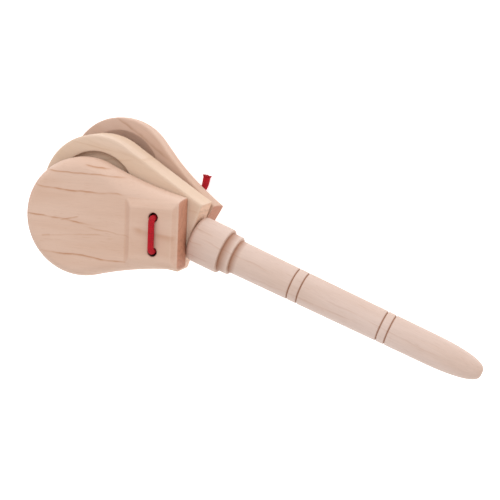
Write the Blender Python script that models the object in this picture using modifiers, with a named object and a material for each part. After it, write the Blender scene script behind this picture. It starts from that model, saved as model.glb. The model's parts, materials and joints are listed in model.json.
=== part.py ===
"""Handle castanets: a centre board on a turned handle, with a shell tied to each face by one cord.

Units are metres and +Z is up. The instrument lies flat: the handle runs along +X, the front shell
is on top and the back shell is underneath. The shells stand where a hand leaves them, swivelled
about the cord and a little open. Every piece hangs under one empty whose place puts the middle of
the whole object's box over the origin, with the lowest point at z = 0.
"""
import math

import bmesh
import bpy
from mathutils import Matrix, Vector

MM = 0.001
FIT_GAP = 0.3 * MM            # space left between pieces that touch

# Outline shared by the board and the shells: a round end and two long sides to a square neck.
ROUND_RADIUS = 29.5 * MM

# Centre board
BOARD_THICKNESS = 14.8 * MM
BOARD_LENGTH = 54.1 * MM      # neck end to the middle of the round end
BOARD_NECK_HALF = 18.1 * MM
BOARD_WAIST_RADIUS = 3000.0 * MM   # the sides are as good as straight
BOARD_EDGE_ROUND = 1.0 * MM
RECESS_RADIUS = 21.4 * MM
RECESS_DEPTH = 3.0 * MM

# Handle
TENON_RADIUS = 5.0 * MM
TENON_LENGTH = 8.5 * MM
TENON_CHAMFER = 0.5 * MM
COLLAR_RADIUS = 11.5 * MM
COLLAR_LENGTH = 17.4 * MM
COLLAR_ROUND = 2.9 * MM
STEP_EASE = 0.8 * MM          # rounding of the outer edge of each step
STEP_CREASE = 0.3 * MM        # the corner where one step meets the next
STEP_RADIUS = 9.85 * MM
STEP_END = 23.0 * MM
GRIP_RADIUS = 8.4 * MM
GRIP_END_RADIUS = 7.45 * MM
GRIP_TAPER_END = 126.0 * MM
HANDLE_TIP = 153.2 * MM
NOSE_FULLNESS = 0.64          # 1 would be an ellipse; less is blunter
GROOVE_PLACES = (54.9 * MM, 60.0 * MM, 102.0 * MM, 106.3 * MM)
GROOVE_HALF_WIDTH = 0.55 * MM
GROOVE_DEPTH = 0.6 * MM

# Shells
SHELL_LENGTH = 52.6 * MM      # neck end to the middle of the cup
SHELL_NECK_HALF = 17.2 * MM
SHELL_WAIST_RADIUS = 190.0 * MM    # the sides curve in a little
RIM_HEIGHT = 4.6 * MM         # upright wall at the edge, before the outside rounds over
RIM_EASE = 0.5 * MM           # chamfer round the inner face
CUP_THICKNESS = 12.6 * MM
CUP_ROUND = 5.6 * MM          # how far in the rounding reaches on the cup
CUP_ROUND_FADE = 9.0 * MM     # length over which it grows to that from the pad's end
PAD_LENGTH = 26.5 * MM        # raised square pad over the neck
PAD_HALF = 16.0 * MM
PAD_TOP = 14.8 * MM
PAD_CHAMFER = 3.2 * MM
PAD_CHAMFER_DROP = 1.9 * MM
PAD_END_CHAMFER = 2.5 * MM    # the chamfer at the two ends, a little shorter than at the sides
PAD_SINK = 2.0 * MM           # how far the pad's block reaches down into the cup
PAD_SETBACK = 0.5 * MM        # the pad's step back from the neck end
PAD_OVERLAP = 0.5 * MM        # how far the pad stands over the rounding beside it
HOLLOW_RADIUS = 23.2 * MM
HOLLOW_DEPTH = 7.6 * MM

# Cord and its holes
CORD_RADIUS = 1.6 * MM
HOLE_RADIUS = 2.2 * MM
HOLE_COUNTERSINK = 0.5 * MM
HOLE_SPREAD = 8.4 * MM        # each hole's distance from the middle line
HOLE_TO_NECK_END = 12.2 * MM
STRAND_LENGTH = 2.8 * MM
LEG_FOOT = STRAND_LENGTH + FIT_GAP   # height at which a leg starts in its hole
LEG_LENGTH = 5.0 * MM
LEG_INSET = 0.35 * MM         # the legs are drawn toward each other inside their holes
BEND_RADIUS = 2.1 * MM
KNOT_SIZE = (7.6 * MM, 6.4 * MM, 4.6 * MM)
TAIL_HEIGHT = 17.2 * MM       # height of a tail's middle over the shell's inner face
LONG_TAIL_ROUTE = ((-18.0, 2.0), (-17.6, -3.5), (-15.9, -10.5), (-15.6, -17.2), (-17.2, -22.3))
SHORT_TAIL_ROUTE = ((-6.4, -2.0), (-5.8, 2.5), (-7.0, 6.6), (-8.8, 9.4))

# Where the cord crosses the board, and how the shells stand at rest. The slip is the play of the
# cord in its holes, and the lean is how far the cup sits off the square line of its own neck.
PIVOT_X = -14.5 * MM
FRONT_SWIVEL = math.radians(19.0)
FRONT_OPEN = math.radians(2.5)
FRONT_SLIP = (0.6 * MM, -1.5 * MM)
FRONT_LEAN = math.radians(4.3)
BACK_SWIVEL = math.radians(-10.0)
BACK_OPEN = math.radians(5.0)
BACK_SLIP = (0.9 * MM, 1.5 * MM)
BACK_LEAN = math.radians(0.0)

PIN_STEPS = 18
DISH_STEPS = 44
TURN_STEPS = 32
CUTTER_LIP = 1.0 * MM         # how far a cutter stands out of the face it cuts


def clear_scene():
    """Remove whatever the file holds."""
    for obj in list(bpy.data.objects):
        bpy.data.objects.remove(obj, do_unlink=True)


def make_collection(name):
    collection = bpy.data.collections.new(name)
    bpy.context.scene.collection.children.link(collection)
    return collection


def make_material(name, colour, roughness):
    """A plain finish for one piece."""
    material = bpy.data.materials.new(name)
    material.use_nodes = True
    shader = material.node_tree.nodes["Principled BSDF"]
    shader.inputs["Base Color"].default_value = (*colour, 1.0)
    shader.inputs["Roughness"].default_value = roughness
    shader.inputs["Metallic"].default_value = 0.0
    return material


def mesh_object(name, mesh, collection):
    obj = bpy.data.objects.new(name, mesh)
    collection.objects.link(obj)
    return obj


def bmesh_object(name, bm, collection):
    mesh = bpy.data.meshes.new(name)
    bm.to_mesh(mesh)
    bm.free()
    return mesh_object(name, mesh, collection)


def curve_to_mesh(obj, collection):
    """Swap a curve for the mesh it draws, with its caps welded on."""
    bpy.context.view_layer.update()
    evaluated = obj.evaluated_get(bpy.context.evaluated_depsgraph_get())
    mesh = bpy.data.meshes.new_from_object(evaluated)
    bm = bmesh.new()
    bm.from_mesh(mesh)
    bmesh.ops.remove_doubles(bm, verts=bm.verts, dist=0.001 * MM)
    bmesh.ops.recalc_face_normals(bm, faces=bm.faces)
    bm.to_mesh(mesh)
    bm.free()
    name = obj.name
    matrix = obj.matrix_world.copy()
    bpy.data.objects.remove(obj, do_unlink=True)
    result = mesh_object(name, mesh, collection)
    result.matrix_world = matrix
    return result


def smooth(obj, angle=35.0):
    obj.data.shade_smooth()
    obj.data.set_sharp_from_angle(angle=math.radians(angle))


def cut(target, cutter):
    """Take the cutter's shape out of the target."""
    boolean = target.modifiers.new("cut_" + cutter.name, "BOOLEAN")
    boolean.operation = "DIFFERENCE"
    boolean.solver = "EXACT"
    boolean.object = cutter


def join(target, addition):
    """Add the addition's shape to the target."""
    boolean = target.modifiers.new("join_" + addition.name, "BOOLEAN")
    boolean.operation = "UNION"
    boolean.solver = "EXACT"
    boolean.object = addition


def hide_guide(obj):
    obj.hide_render = True
    obj.display_type = "WIRE"


def turned(name, profile, steps, collection):
    """Turn a profile of (radius, height) points, listed top to bottom, about the Z axis."""
    bm = bmesh.new()
    verts = [bm.verts.new((radius, 0.0, height)) for radius, height in profile]
    for first, second in zip(verts, verts[1:]):
        bm.edges.new((first, second))
    obj = bmesh_object(name, bm, collection)
    screw = obj.modifiers.new("turn", "SCREW")
    screw.axis = "Z"
    screw.steps = steps
    screw.render_steps = steps
    screw.use_merge_vertices = True
    screw.merge_threshold = 0.00001
    screw.use_smooth_shade = True
    return obj


def arc(centre, radius, start, end, count):
    """Points along an arc, its angles in radians."""
    points = []
    for index in range(count + 1):
        angle = start + (end - start) * index / count
        points.append((centre[0] + radius * math.cos(angle), centre[1] + radius * math.sin(angle)))
    return points


def cup_middle(length, lean):
    """The middle of the round end, the neck end's middle being the origin."""
    return (-length * math.cos(lean), length * math.sin(lean))


def waist_arc(centre, corner, radius, side, count):
    """A hollow-sided arc from a neck corner to where it runs smoothly into the round end.

    Args:
        centre: middle of the round end.
        corner: the neck corner that the arc starts from.
        radius: the arc's own radius.
        side: 1 for the +Y side, -1 for the -Y side.
        count: number of steps; the last point, on the round end, is left out.

    Returns:
        The points, and the angle about the centre at which the arc meets the round end.
    """
    across = Vector(corner) - Vector(centre)
    reach = ROUND_RADIUS + radius
    along = (reach ** 2 - radius ** 2 + across.length_squared) / (2.0 * across.length)
    aside = math.sqrt(reach ** 2 - along ** 2)
    unit = across.normalized()
    pole = Vector(centre) + along * unit + side * aside * Vector((-unit.y, unit.x))
    meeting = math.atan2(pole.y - centre[1], pole.x - centre[0])
    start = math.atan2(corner[1] - pole.y, corner[0] - pole.x)
    end = meeting + side * math.pi
    turn = math.remainder(end - start, 2.0 * math.pi)
    return arc(pole, radius, start, start + turn, count)[:-1], meeting


def paddle_outline(length, neck_half, waist_radius, lean=0.0, arc_count=38, side_count=10):
    """The flat outline: a square neck end at x = 0, two long sides and a round end.

    Points run from the neck end's +Y corner round the cup to its -Y corner.
    """
    centre = cup_middle(length, lean)
    upper_side, upper = waist_arc(centre, (0.0, neck_half), waist_radius, 1.0, side_count)
    lower_side, lower = waist_arc(centre, (0.0, -neck_half), waist_radius, -1.0, side_count)
    round_end = arc(centre, ROUND_RADIUS, upper, lower + 2.0 * math.pi, arc_count)
    return upper_side + round_end + lower_side[::-1]


def flat_plate(name, outline, thickness, collection):
    """A plate of even thickness, centred on z = 0, from a flat outline."""
    curve = bpy.data.curves.new(name, "CURVE")
    curve.dimensions = "2D"
    curve.fill_mode = "BOTH"
    curve.extrude = thickness / 2.0
    spline = curve.splines.new("POLY")
    spline.points.add(len(outline) - 1)
    for point, (x, y) in zip(spline.points, outline):
        point.co = (x, y, 0.0, 1.0)
    spline.use_cyclic_u = True
    obj = bpy.data.objects.new(name, curve)
    collection.objects.link(obj)
    return curve_to_mesh(obj, collection)


def cord_tube(name, points, collection, radius=CORD_RADIUS):
    """A length of round cord along the points, closed at both ends."""
    curve = bpy.data.curves.new(name, "CURVE")
    curve.dimensions = "3D"
    curve.bevel_depth = radius
    curve.bevel_resolution = 3
    curve.use_fill_caps = True
    spline = curve.splines.new("POLY")
    spline.points.add(len(points) - 1)
    for point, place in zip(spline.points, points):
        point.co = (*place, 1.0)
    obj = bpy.data.objects.new(name, curve)
    collection.objects.link(obj)
    return curve_to_mesh(obj, collection)


def hole_cutter(name, place, thickness, collection):
    """A drill for one cord hole, with a small countersink at both faces of the wood."""
    flare = HOLE_RADIUS + 2.0 * HOLE_COUNTERSINK
    top = thickness / 2.0
    profile = [(0.0, top + HOLE_COUNTERSINK), (flare, top + HOLE_COUNTERSINK),
               (HOLE_RADIUS, top - HOLE_COUNTERSINK), (HOLE_RADIUS, -top + HOLE_COUNTERSINK),
               (flare, -top - HOLE_COUNTERSINK), (0.0, -top - HOLE_COUNTERSINK)]
    drill = turned(name, profile, PIN_STEPS, collection)
    drill.location = place
    hide_guide(drill)
    return drill


def recess_profile(radius, depth):
    """A shallow turned recess with a flat floor and a rounded corner, its mouth at height 0."""
    corner = 0.8 * depth
    points = [(0.0, CUTTER_LIP), (radius, CUTTER_LIP)]
    points += arc((radius - corner, -depth + corner), corner, 0.0, -math.pi / 2.0, 5)
    points.append((0.0, -depth))
    return points


def dish_profile(radius, depth):
    """A round-bottomed hollow, its mouth at height 0."""
    ball = (radius ** 2 + depth ** 2) / (2.0 * depth)
    half_angle = math.asin(radius / ball)
    centre = ball - depth
    points = [(0.0, CUTTER_LIP), (radius, CUTTER_LIP)]
    points += arc((0.0, centre), ball, -math.pi / 2.0 + half_angle, -math.pi / 2.0, 9)
    return points


def both_sides(facing=1.0):
    """Names and Y signs of a pair: left is the instrument's +Y side, whichever way a shell faces."""
    return (("left", facing), ("right", -facing))


def make_board(parts, cutters):
    """The middle board: a recess in each face, two cord holes and a socket for the handle."""
    outline = paddle_outline(BOARD_LENGTH, BOARD_NECK_HALF, BOARD_WAIST_RADIUS)
    board = flat_plate("centre_board", outline, BOARD_THICKNESS, parts)
    bevel = board.modifiers.new("eased_edges", "BEVEL")
    bevel.width = BOARD_EDGE_ROUND
    bevel.segments = 2
    bevel.limit_method = "ANGLE"
    bevel.angle_limit = math.radians(60.0)
    for side, turn in (("front", 0.0), ("back", math.pi)):
        profile = recess_profile(RECESS_RADIUS, RECESS_DEPTH)
        recess = turned("board_recess_" + side, profile, DISH_STEPS, cutters)
        recess.rotation_euler = (turn, 0.0, 0.0)
        face = BOARD_THICKNESS / 2.0 * (1.0 if side == "front" else -1.0)
        recess.location = (-BOARD_LENGTH, 0.0, face)
        hide_guide(recess)
        cut(board, recess)
    for side, sign in both_sides():
        place = (PIVOT_X, sign * HOLE_SPREAD, 0.0)
        cut(board, hole_cutter("board_hole_" + side, place, BOARD_THICKNESS, cutters))
    bore = TENON_RADIUS + FIT_GAP
    depth = TENON_LENGTH + FIT_GAP
    profile = [(0.0, CUTTER_LIP), (bore, CUTTER_LIP), (bore, -depth), (0.0, -depth)]
    socket = turned("handle_socket", profile, TURN_STEPS, cutters)
    socket.rotation_euler = (0.0, math.pi / 2.0, 0.0)
    hide_guide(socket)
    cut(board, socket)
    smooth(board)
    return board


def handle_profile():
    """Radius and distance along the handle, from its tip to the end of the tenon."""
    nose_start = GRIP_TAPER_END
    points = []
    nose_steps = 12
    for index in range(nose_steps + 1):
        angle = math.pi / 2.0 * index / nose_steps
        radius = GRIP_END_RADIUS * math.sin(angle) ** NOSE_FULLNESS
        points.append((radius, nose_start + (HANDLE_TIP - nose_start) * math.cos(angle)))
    taper = (GRIP_RADIUS - GRIP_END_RADIUS) / (GRIP_TAPER_END - STEP_END)
    for place in sorted(GROOVE_PLACES, reverse=True):
        radius = GRIP_END_RADIUS + taper * (GRIP_TAPER_END - place)
        points.append((radius, place + GROOVE_HALF_WIDTH))
        points.append((radius - GROOVE_DEPTH, place))
        points.append((radius, place - GROOVE_HALF_WIDTH))
    points.append((GRIP_RADIUS, STEP_END + STEP_CREASE))
    edge = (STEP_RADIUS - STEP_EASE, STEP_END - STEP_EASE)
    points += arc(edge, STEP_EASE, math.pi / 2.0, 0.0, 3)
    points.append((STEP_RADIUS, COLLAR_LENGTH + STEP_CREASE))
    edge = (COLLAR_RADIUS - STEP_EASE, COLLAR_LENGTH - STEP_EASE)
    points += arc(edge, STEP_EASE, math.pi / 2.0, 0.0, 3)
    shoulder = (COLLAR_RADIUS - COLLAR_ROUND, FIT_GAP + COLLAR_ROUND)
    points += arc(shoulder, COLLAR_ROUND, 0.0, -math.pi / 2.0, 5)
    points.append((TENON_RADIUS, FIT_GAP))
    points.append((TENON_RADIUS, TENON_CHAMFER - TENON_LENGTH))
    points.append((TENON_RADIUS - TENON_CHAMFER, -TENON_LENGTH))
    points.append((0.0, -TENON_LENGTH))
    return points


def make_handle(parts):
    """The turned handle, its tenon hidden in the board's socket."""
    handle = turned("handle", handle_profile(), TURN_STEPS, parts)
    handle.rotation_euler = (0.0, math.pi / 2.0, 0.0)
    return handle


def rounding_reach(x, y):
    """How far in from the edge the outside of a shell rounds over, beside the pad and on the cup."""
    beside_pad = max(abs(y) - PAD_HALF, 0.0) + PAD_OVERLAP
    if x > -PAD_LENGTH:
        return beside_pad
    fade = min((-PAD_LENGTH - x) / CUP_ROUND_FADE, 1.0)
    return beside_pad + (CUP_ROUND - beside_pad) * fade


def shell_body(name, lean, collection):
    """The shell before its pad, hollow and holes: loops of the outline, drawn in as they rise."""
    outline = paddle_outline(SHELL_LENGTH, SHELL_NECK_HALF, SHELL_WAIST_RADIUS, lean)
    count = len(outline)
    inward = []
    for index, (x, y) in enumerate(outline):
        before = outline[max(index - 1, 0)]
        after = outline[min(index + 1, count - 1)]
        along = Vector((after[0] - before[0], after[1] - before[1])).normalized()
        inward.append(Vector((-along.y, along.x)))
    inward[0] = Vector((0.0, -1.0))
    inward[-1] = Vector((0.0, 1.0))
    levels = [(0.0, 0.0, RIM_EASE), (0.0, RIM_EASE, 0.0)]
    round_steps = 6
    for step in range(round_steps + 1):
        angle = math.pi / 2.0 * step / round_steps
        height = RIM_HEIGHT + (CUP_THICKNESS - RIM_HEIGHT) * math.sin(angle)
        levels.append((1.0 - math.cos(angle), height, 0.0))
    bm = bmesh.new()
    loops = []
    for share, height, margin in levels:
        loop = []
        for (x, y), normal in zip(outline, inward):
            inset = share * rounding_reach(x, y) + margin
            loop.append(bm.verts.new((x + normal.x * inset, y + normal.y * inset, height)))
        loops.append(loop)
    for lower, upper in zip(loops, loops[1:]):
        for index in range(count):
            following = (index + 1) % count
            bm.faces.new((lower[index], lower[following], upper[following], upper[index]))
    bm.faces.new(loops[-1])
    bm.faces.new(reversed(loops[0]))
    bmesh.ops.recalc_face_normals(bm, faces=bm.faces)
    return bmesh_object(name, bm, collection)


def neck_pad(name, collection):
    """The square pad with chamfered edges that thickens a shell's neck."""
    bm = bmesh.new()
    base = CUP_THICKNESS - PAD_SINK
    shelf = PAD_TOP - PAD_CHAMFER_DROP
    loops = []
    for height, share in ((base, 0.0), (shelf, 0.0), (PAD_TOP, 1.0)):
        inset = share * PAD_END_CHAMFER
        ends = (-PAD_LENGTH + inset, -PAD_SETBACK - inset)
        side = PAD_HALF - share * PAD_CHAMFER
        corners = ((ends[1], side), (ends[0], side), (ends[0], -side), (ends[1], -side))
        loops.append([bm.verts.new((x, y, height)) for x, y in corners])
    for lower, upper in zip(loops, loops[1:]):
        for index in range(4):
            following = (index + 1) % 4
            bm.faces.new((lower[index], lower[following], upper[following], upper[index]))
    bm.faces.new(loops[-1])
    bm.faces.new(reversed(loops[0]))
    bmesh.ops.recalc_face_normals(bm, faces=bm.faces)
    pad = bmesh_object(name, bm, collection)
    hide_guide(pad)
    return pad


def make_shell(name, lean, parts, cutters):
    """One shell in its own frame: inner face on z = 0, neck end at x = 0, outside toward +Z."""
    shell = shell_body(name, lean, parts)
    pad = neck_pad(name + "_pad", cutters)
    join(shell, pad)
    hollow = turned(name + "_hollow", dish_profile(HOLLOW_RADIUS, HOLLOW_DEPTH), DISH_STEPS, cutters)
    hollow.rotation_euler = (math.pi, 0.0, math.pi / DISH_STEPS)
    hollow.location = (*cup_middle(SHELL_LENGTH, lean), 0.0)
    hide_guide(hollow)
    cut(shell, hollow)
    for side, sign in both_sides():
        place = (-HOLE_TO_NECK_END, sign * HOLE_SPREAD, PAD_TOP / 2.0)
        drill = hole_cutter(name + "_hole_" + side, place, PAD_TOP, cutters)
        drill.parent = shell
        cut(shell, drill)
    for guide in (pad, hollow):
        guide.parent = shell
    smooth(shell)
    return shell


def make_stitch(parts):
    """The cord's visible stitch over the front shell's pad, with a leg down each hole."""
    spread = HOLE_SPREAD - LEG_INSET
    top = PAD_TOP + CORD_RADIUS + FIT_GAP
    x = -HOLE_TO_NECK_END
    points = [(x, spread, LEG_FOOT), (x, spread, LEG_FOOT + LEG_LENGTH)]
    bend = arc((spread - BEND_RADIUS, top - BEND_RADIUS), BEND_RADIUS, 0.0, math.pi / 2.0, 6)
    points += [(x, across, height) for across, height in bend]
    for place in reversed(points[:]):
        points.append((place[0], -place[1], place[2]))
    stitch = cord_tube("front_cord_stitch", points, parts)
    smooth(stitch, 50.0)
    return stitch


def make_strands(side_name, facing, parts):
    """The two short lengths of cord in the mouths of a shell's holes, about the swivel's axis."""
    strands = []
    for side, sign in both_sides(facing):
        y = sign * (HOLE_SPREAD - LEG_INSET)
        points = [(0.0, y, 0.0), (0.0, y, STRAND_LENGTH)]
        strand = cord_tube(side_name + "_cord_strand_" + side, points, parts)
        smooth(strand, 50.0)
        strands.append(strand)
    return strands


def make_board_cords(parts):
    """The two straight runs of cord through the board."""
    runs = []
    half = (BOARD_THICKNESS - FIT_GAP) / 2.0
    for side, sign in both_sides():
        y = sign * HOLE_SPREAD
        run = cord_tube("board_cord_" + side, [(PIVOT_X, y, -half), (PIVOT_X, y, half)], parts)
        smooth(run, 50.0)
        runs.append(run)
    return runs


def make_back_tie(parts):
    """The cord's two legs out of the back shell, the knot that joins them, and the two cut tails."""
    pieces = []
    x = -HOLE_TO_NECK_END
    spread = HOLE_SPREAD - LEG_INSET
    top = PAD_TOP + CORD_RADIUS + FIT_GAP
    knot_half = KNOT_SIZE[1] / 2.0
    for side, sign in both_sides(-1.0):
        points = [(x, sign * spread, LEG_FOOT), (x, sign * spread, LEG_FOOT + LEG_LENGTH)]
        bend = arc((spread - BEND_RADIUS, top - BEND_RADIUS), BEND_RADIUS, 0.0, math.pi / 2.0, 6)
        points += [(x, sign * across, height) for across, height in bend]
        points.append((x, sign * (knot_half + FIT_GAP), top))
        pieces.append(cord_tube("back_cord_leg_" + side, points, parts))
    bm = bmesh.new()
    bmesh.ops.create_uvsphere(bm, u_segments=20, v_segments=12, radius=0.5)
    bmesh.ops.scale(bm, vec=KNOT_SIZE, verts=bm.verts)
    knot_height = PAD_TOP + KNOT_SIZE[2] / 2.0 + FIT_GAP
    bmesh.ops.translate(bm, vec=(x, 0.0, knot_height), verts=bm.verts)
    pieces.append(bmesh_object("cord_knot", bm, parts))
    pieces.append(cord_tube("cord_tail_long", tail_points(LONG_TAIL_ROUTE), parts))
    pieces.append(cord_tube("cord_tail_short", tail_points(SHORT_TAIL_ROUTE), parts))
    for piece in pieces:
        smooth(piece, 50.0)
    return pieces


def tail_points(route, steps=3):
    """A smooth path through a cut tail's route, lying flat over the pad."""
    places = [Vector((x * MM, y * MM, TAIL_HEIGHT)) for x, y in route]
    padded = [2.0 * places[0] - places[1]] + places + [2.0 * places[-1] - places[-2]]
    points = []
    for before, first, second, after in zip(padded, padded[1:], padded[2:], padded[3:]):
        for step in range(steps):
            part = step / steps
            straight = (second - before) * part
            bend = (2.0 * before - 5.0 * first + 4.0 * second - after) * part ** 2
            twist = (3.0 * first - before - 3.0 * second + after) * part ** 3
            points.append(first + 0.5 * (straight + bend + twist))
    points.append(places[-1])
    return points


def place_on_joint(pieces, name, frame, place):
    """Hang pieces under an empty that carries one joint's setting.

    Args:
        pieces: objects built in the shell's frame.
        name: the empty's name.
        frame: the empty that this one hangs under.
        place: the empty's matrix in its parent's frame.
    """
    empty = bpy.data.objects.new(name, None)
    bpy.context.scene.collection.objects.link(empty)
    empty.parent = frame
    empty.matrix_local = place
    for piece in pieces:
        piece.parent = empty
    return empty


def swivel_matrix(facing, swivel, slip):
    """Where a shell's cord stands: on the board's face, on the line the shell swivels about.

    Args:
        facing: 1 for the front shell, -1 for the back shell, which is turned over.
        swivel: angle about +Z that the shell has turned about the cord.
        slip: how far the cord lets the shell slide along the board, in X and Y.
    """
    turn_over = Matrix.Identity(4) if facing > 0 else Matrix.Rotation(math.pi, 4, "X")
    face = BOARD_THICKNESS / 2.0 + FIT_GAP
    to_pivot = Matrix.Translation((PIVOT_X + slip[0], slip[1], facing * face))
    return to_pivot @ Matrix.Rotation(swivel, 4, "Z") @ turn_over


def clap_matrix(opening):
    """Where a shell's frame stands from its swivel: at the neck end's inner edge, opened about it."""
    return Matrix.Translation((HOLE_TO_NECK_END, 0.0, 0.0)) @ Matrix.Rotation(opening, 4, "Y")


def whole_box(objects):
    """The lowest and highest corner of the evaluated pieces in world space."""
    bpy.context.view_layer.update()
    depsgraph = bpy.context.evaluated_depsgraph_get()
    low = Vector((math.inf, math.inf, math.inf))
    high = -low
    for obj in objects:
        evaluated = obj.evaluated_get(depsgraph)
        for vert in evaluated.data.vertices:
            place = evaluated.matrix_world @ vert.co
            for axis in range(3):
                low[axis] = min(low[axis], place[axis])
                high[axis] = max(high[axis], place[axis])
    return low, high


def dress(pieces, materials):
    for piece in pieces:
        material = materials["cord"]
        for key in ("board", "handle", "front_shell", "back_shell"):
            if piece.name in (key, "centre_" + key):
                material = materials[key]
        own = material.copy()
        own.name = piece.name + "_finish"
        piece.data.materials.clear()
        piece.data.materials.append(own)


def main():
    clear_scene()
    parts = make_collection("castanets")
    cutters = make_collection("cutters")
    frame = bpy.data.objects.new("castanets_frame", None)
    bpy.context.scene.collection.objects.link(frame)
    board = make_board(parts, cutters)
    handle = make_handle(parts)
    for piece in [board, handle] + make_board_cords(parts):
        piece.parent = frame
    for obj in cutters.objects:
        if obj.parent is None:
            obj.parent = frame

    poses = {"front": (1, FRONT_SWIVEL, FRONT_SLIP, FRONT_OPEN, FRONT_LEAN),
             "back": (-1, BACK_SWIVEL, BACK_SLIP, BACK_OPEN, BACK_LEAN)}
    for side, (facing, swivel, slip, opening, lean) in poses.items():
        on_shell = [make_shell(side + "_shell", lean, parts, cutters)]
        if side == "front":
            on_shell.append(make_stitch(parts))
        else:
            on_shell += make_back_tie(parts)
        strands = make_strands(side, facing, parts)
        link = place_on_joint(strands, side + "_swivel_joint", frame, swivel_matrix(facing, swivel, slip))
        place_on_joint(on_shell, side + "_clap_joint", link, clap_matrix(opening))

    materials = {
        "board": make_material("board_wood", (0.73, 0.54, 0.36), 0.55),
        "handle": make_material("handle_wood", (0.74, 0.53, 0.42), 0.55),
        "front_shell": make_material("front_shell_wood", (0.68, 0.46, 0.34), 0.55),
        "back_shell": make_material("back_shell_wood", (0.62, 0.39, 0.26), 0.55),
        "cord": make_material("red_cord", (0.50, 0.01, 0.02), 0.7),
    }
    dress(parts.objects, materials)
    low, high = whole_box(parts.objects)
    frame.location = (-(low.x + high.x) / 2.0, -(low.y + high.y) / 2.0, -low.z)
    bpy.context.view_layer.update()


main()
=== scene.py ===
"""Handle castanets, finished: sanded wooden board and shells, a turned handle and a braided cord.

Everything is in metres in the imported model's frame: +X to the handle's tip, +Z up, lying flat.
"""
import json
import logging
import math
from dataclasses import dataclass, field
from enum import Enum

import bmesh
import bpy
import numpy as np
from mathutils import Euler, Matrix, Vector


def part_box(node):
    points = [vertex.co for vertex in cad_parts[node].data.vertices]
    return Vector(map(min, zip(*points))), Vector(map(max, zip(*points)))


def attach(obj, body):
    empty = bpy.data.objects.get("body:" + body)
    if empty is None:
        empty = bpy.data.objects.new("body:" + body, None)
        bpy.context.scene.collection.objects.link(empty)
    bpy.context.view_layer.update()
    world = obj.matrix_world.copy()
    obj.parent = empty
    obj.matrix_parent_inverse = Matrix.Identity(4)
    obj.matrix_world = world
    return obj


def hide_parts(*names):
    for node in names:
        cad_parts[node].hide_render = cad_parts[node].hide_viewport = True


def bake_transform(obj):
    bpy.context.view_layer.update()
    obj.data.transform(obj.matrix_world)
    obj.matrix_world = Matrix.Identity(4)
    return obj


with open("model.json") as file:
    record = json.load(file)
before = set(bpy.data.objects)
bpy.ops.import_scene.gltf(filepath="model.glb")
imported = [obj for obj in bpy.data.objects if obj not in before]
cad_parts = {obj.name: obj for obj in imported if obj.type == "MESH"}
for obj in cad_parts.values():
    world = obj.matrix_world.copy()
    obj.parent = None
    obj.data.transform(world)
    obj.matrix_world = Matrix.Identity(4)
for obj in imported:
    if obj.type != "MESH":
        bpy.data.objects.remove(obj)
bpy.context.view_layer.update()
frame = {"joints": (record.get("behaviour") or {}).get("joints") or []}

MM = 0.001
TURN = 2.0 * math.pi
GOLDEN_TURN = 2.39996
FIT_GAP = 0.3 * MM
HOLE_SPREAD = 8.4 * MM
HOLE_TO_END = 12.2 * MM
BOARD_HOLE = -14.5 * MM
LOG = logging.getLogger("castanets")

Point = tuple[float, float]
Place = tuple[float, float, float]
Colour = tuple[float, float, float]
Socket = bpy.types.NodeSocket
Value = float | tuple | Vector | Socket


# ---------------------------------------------------------------- node trees

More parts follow.
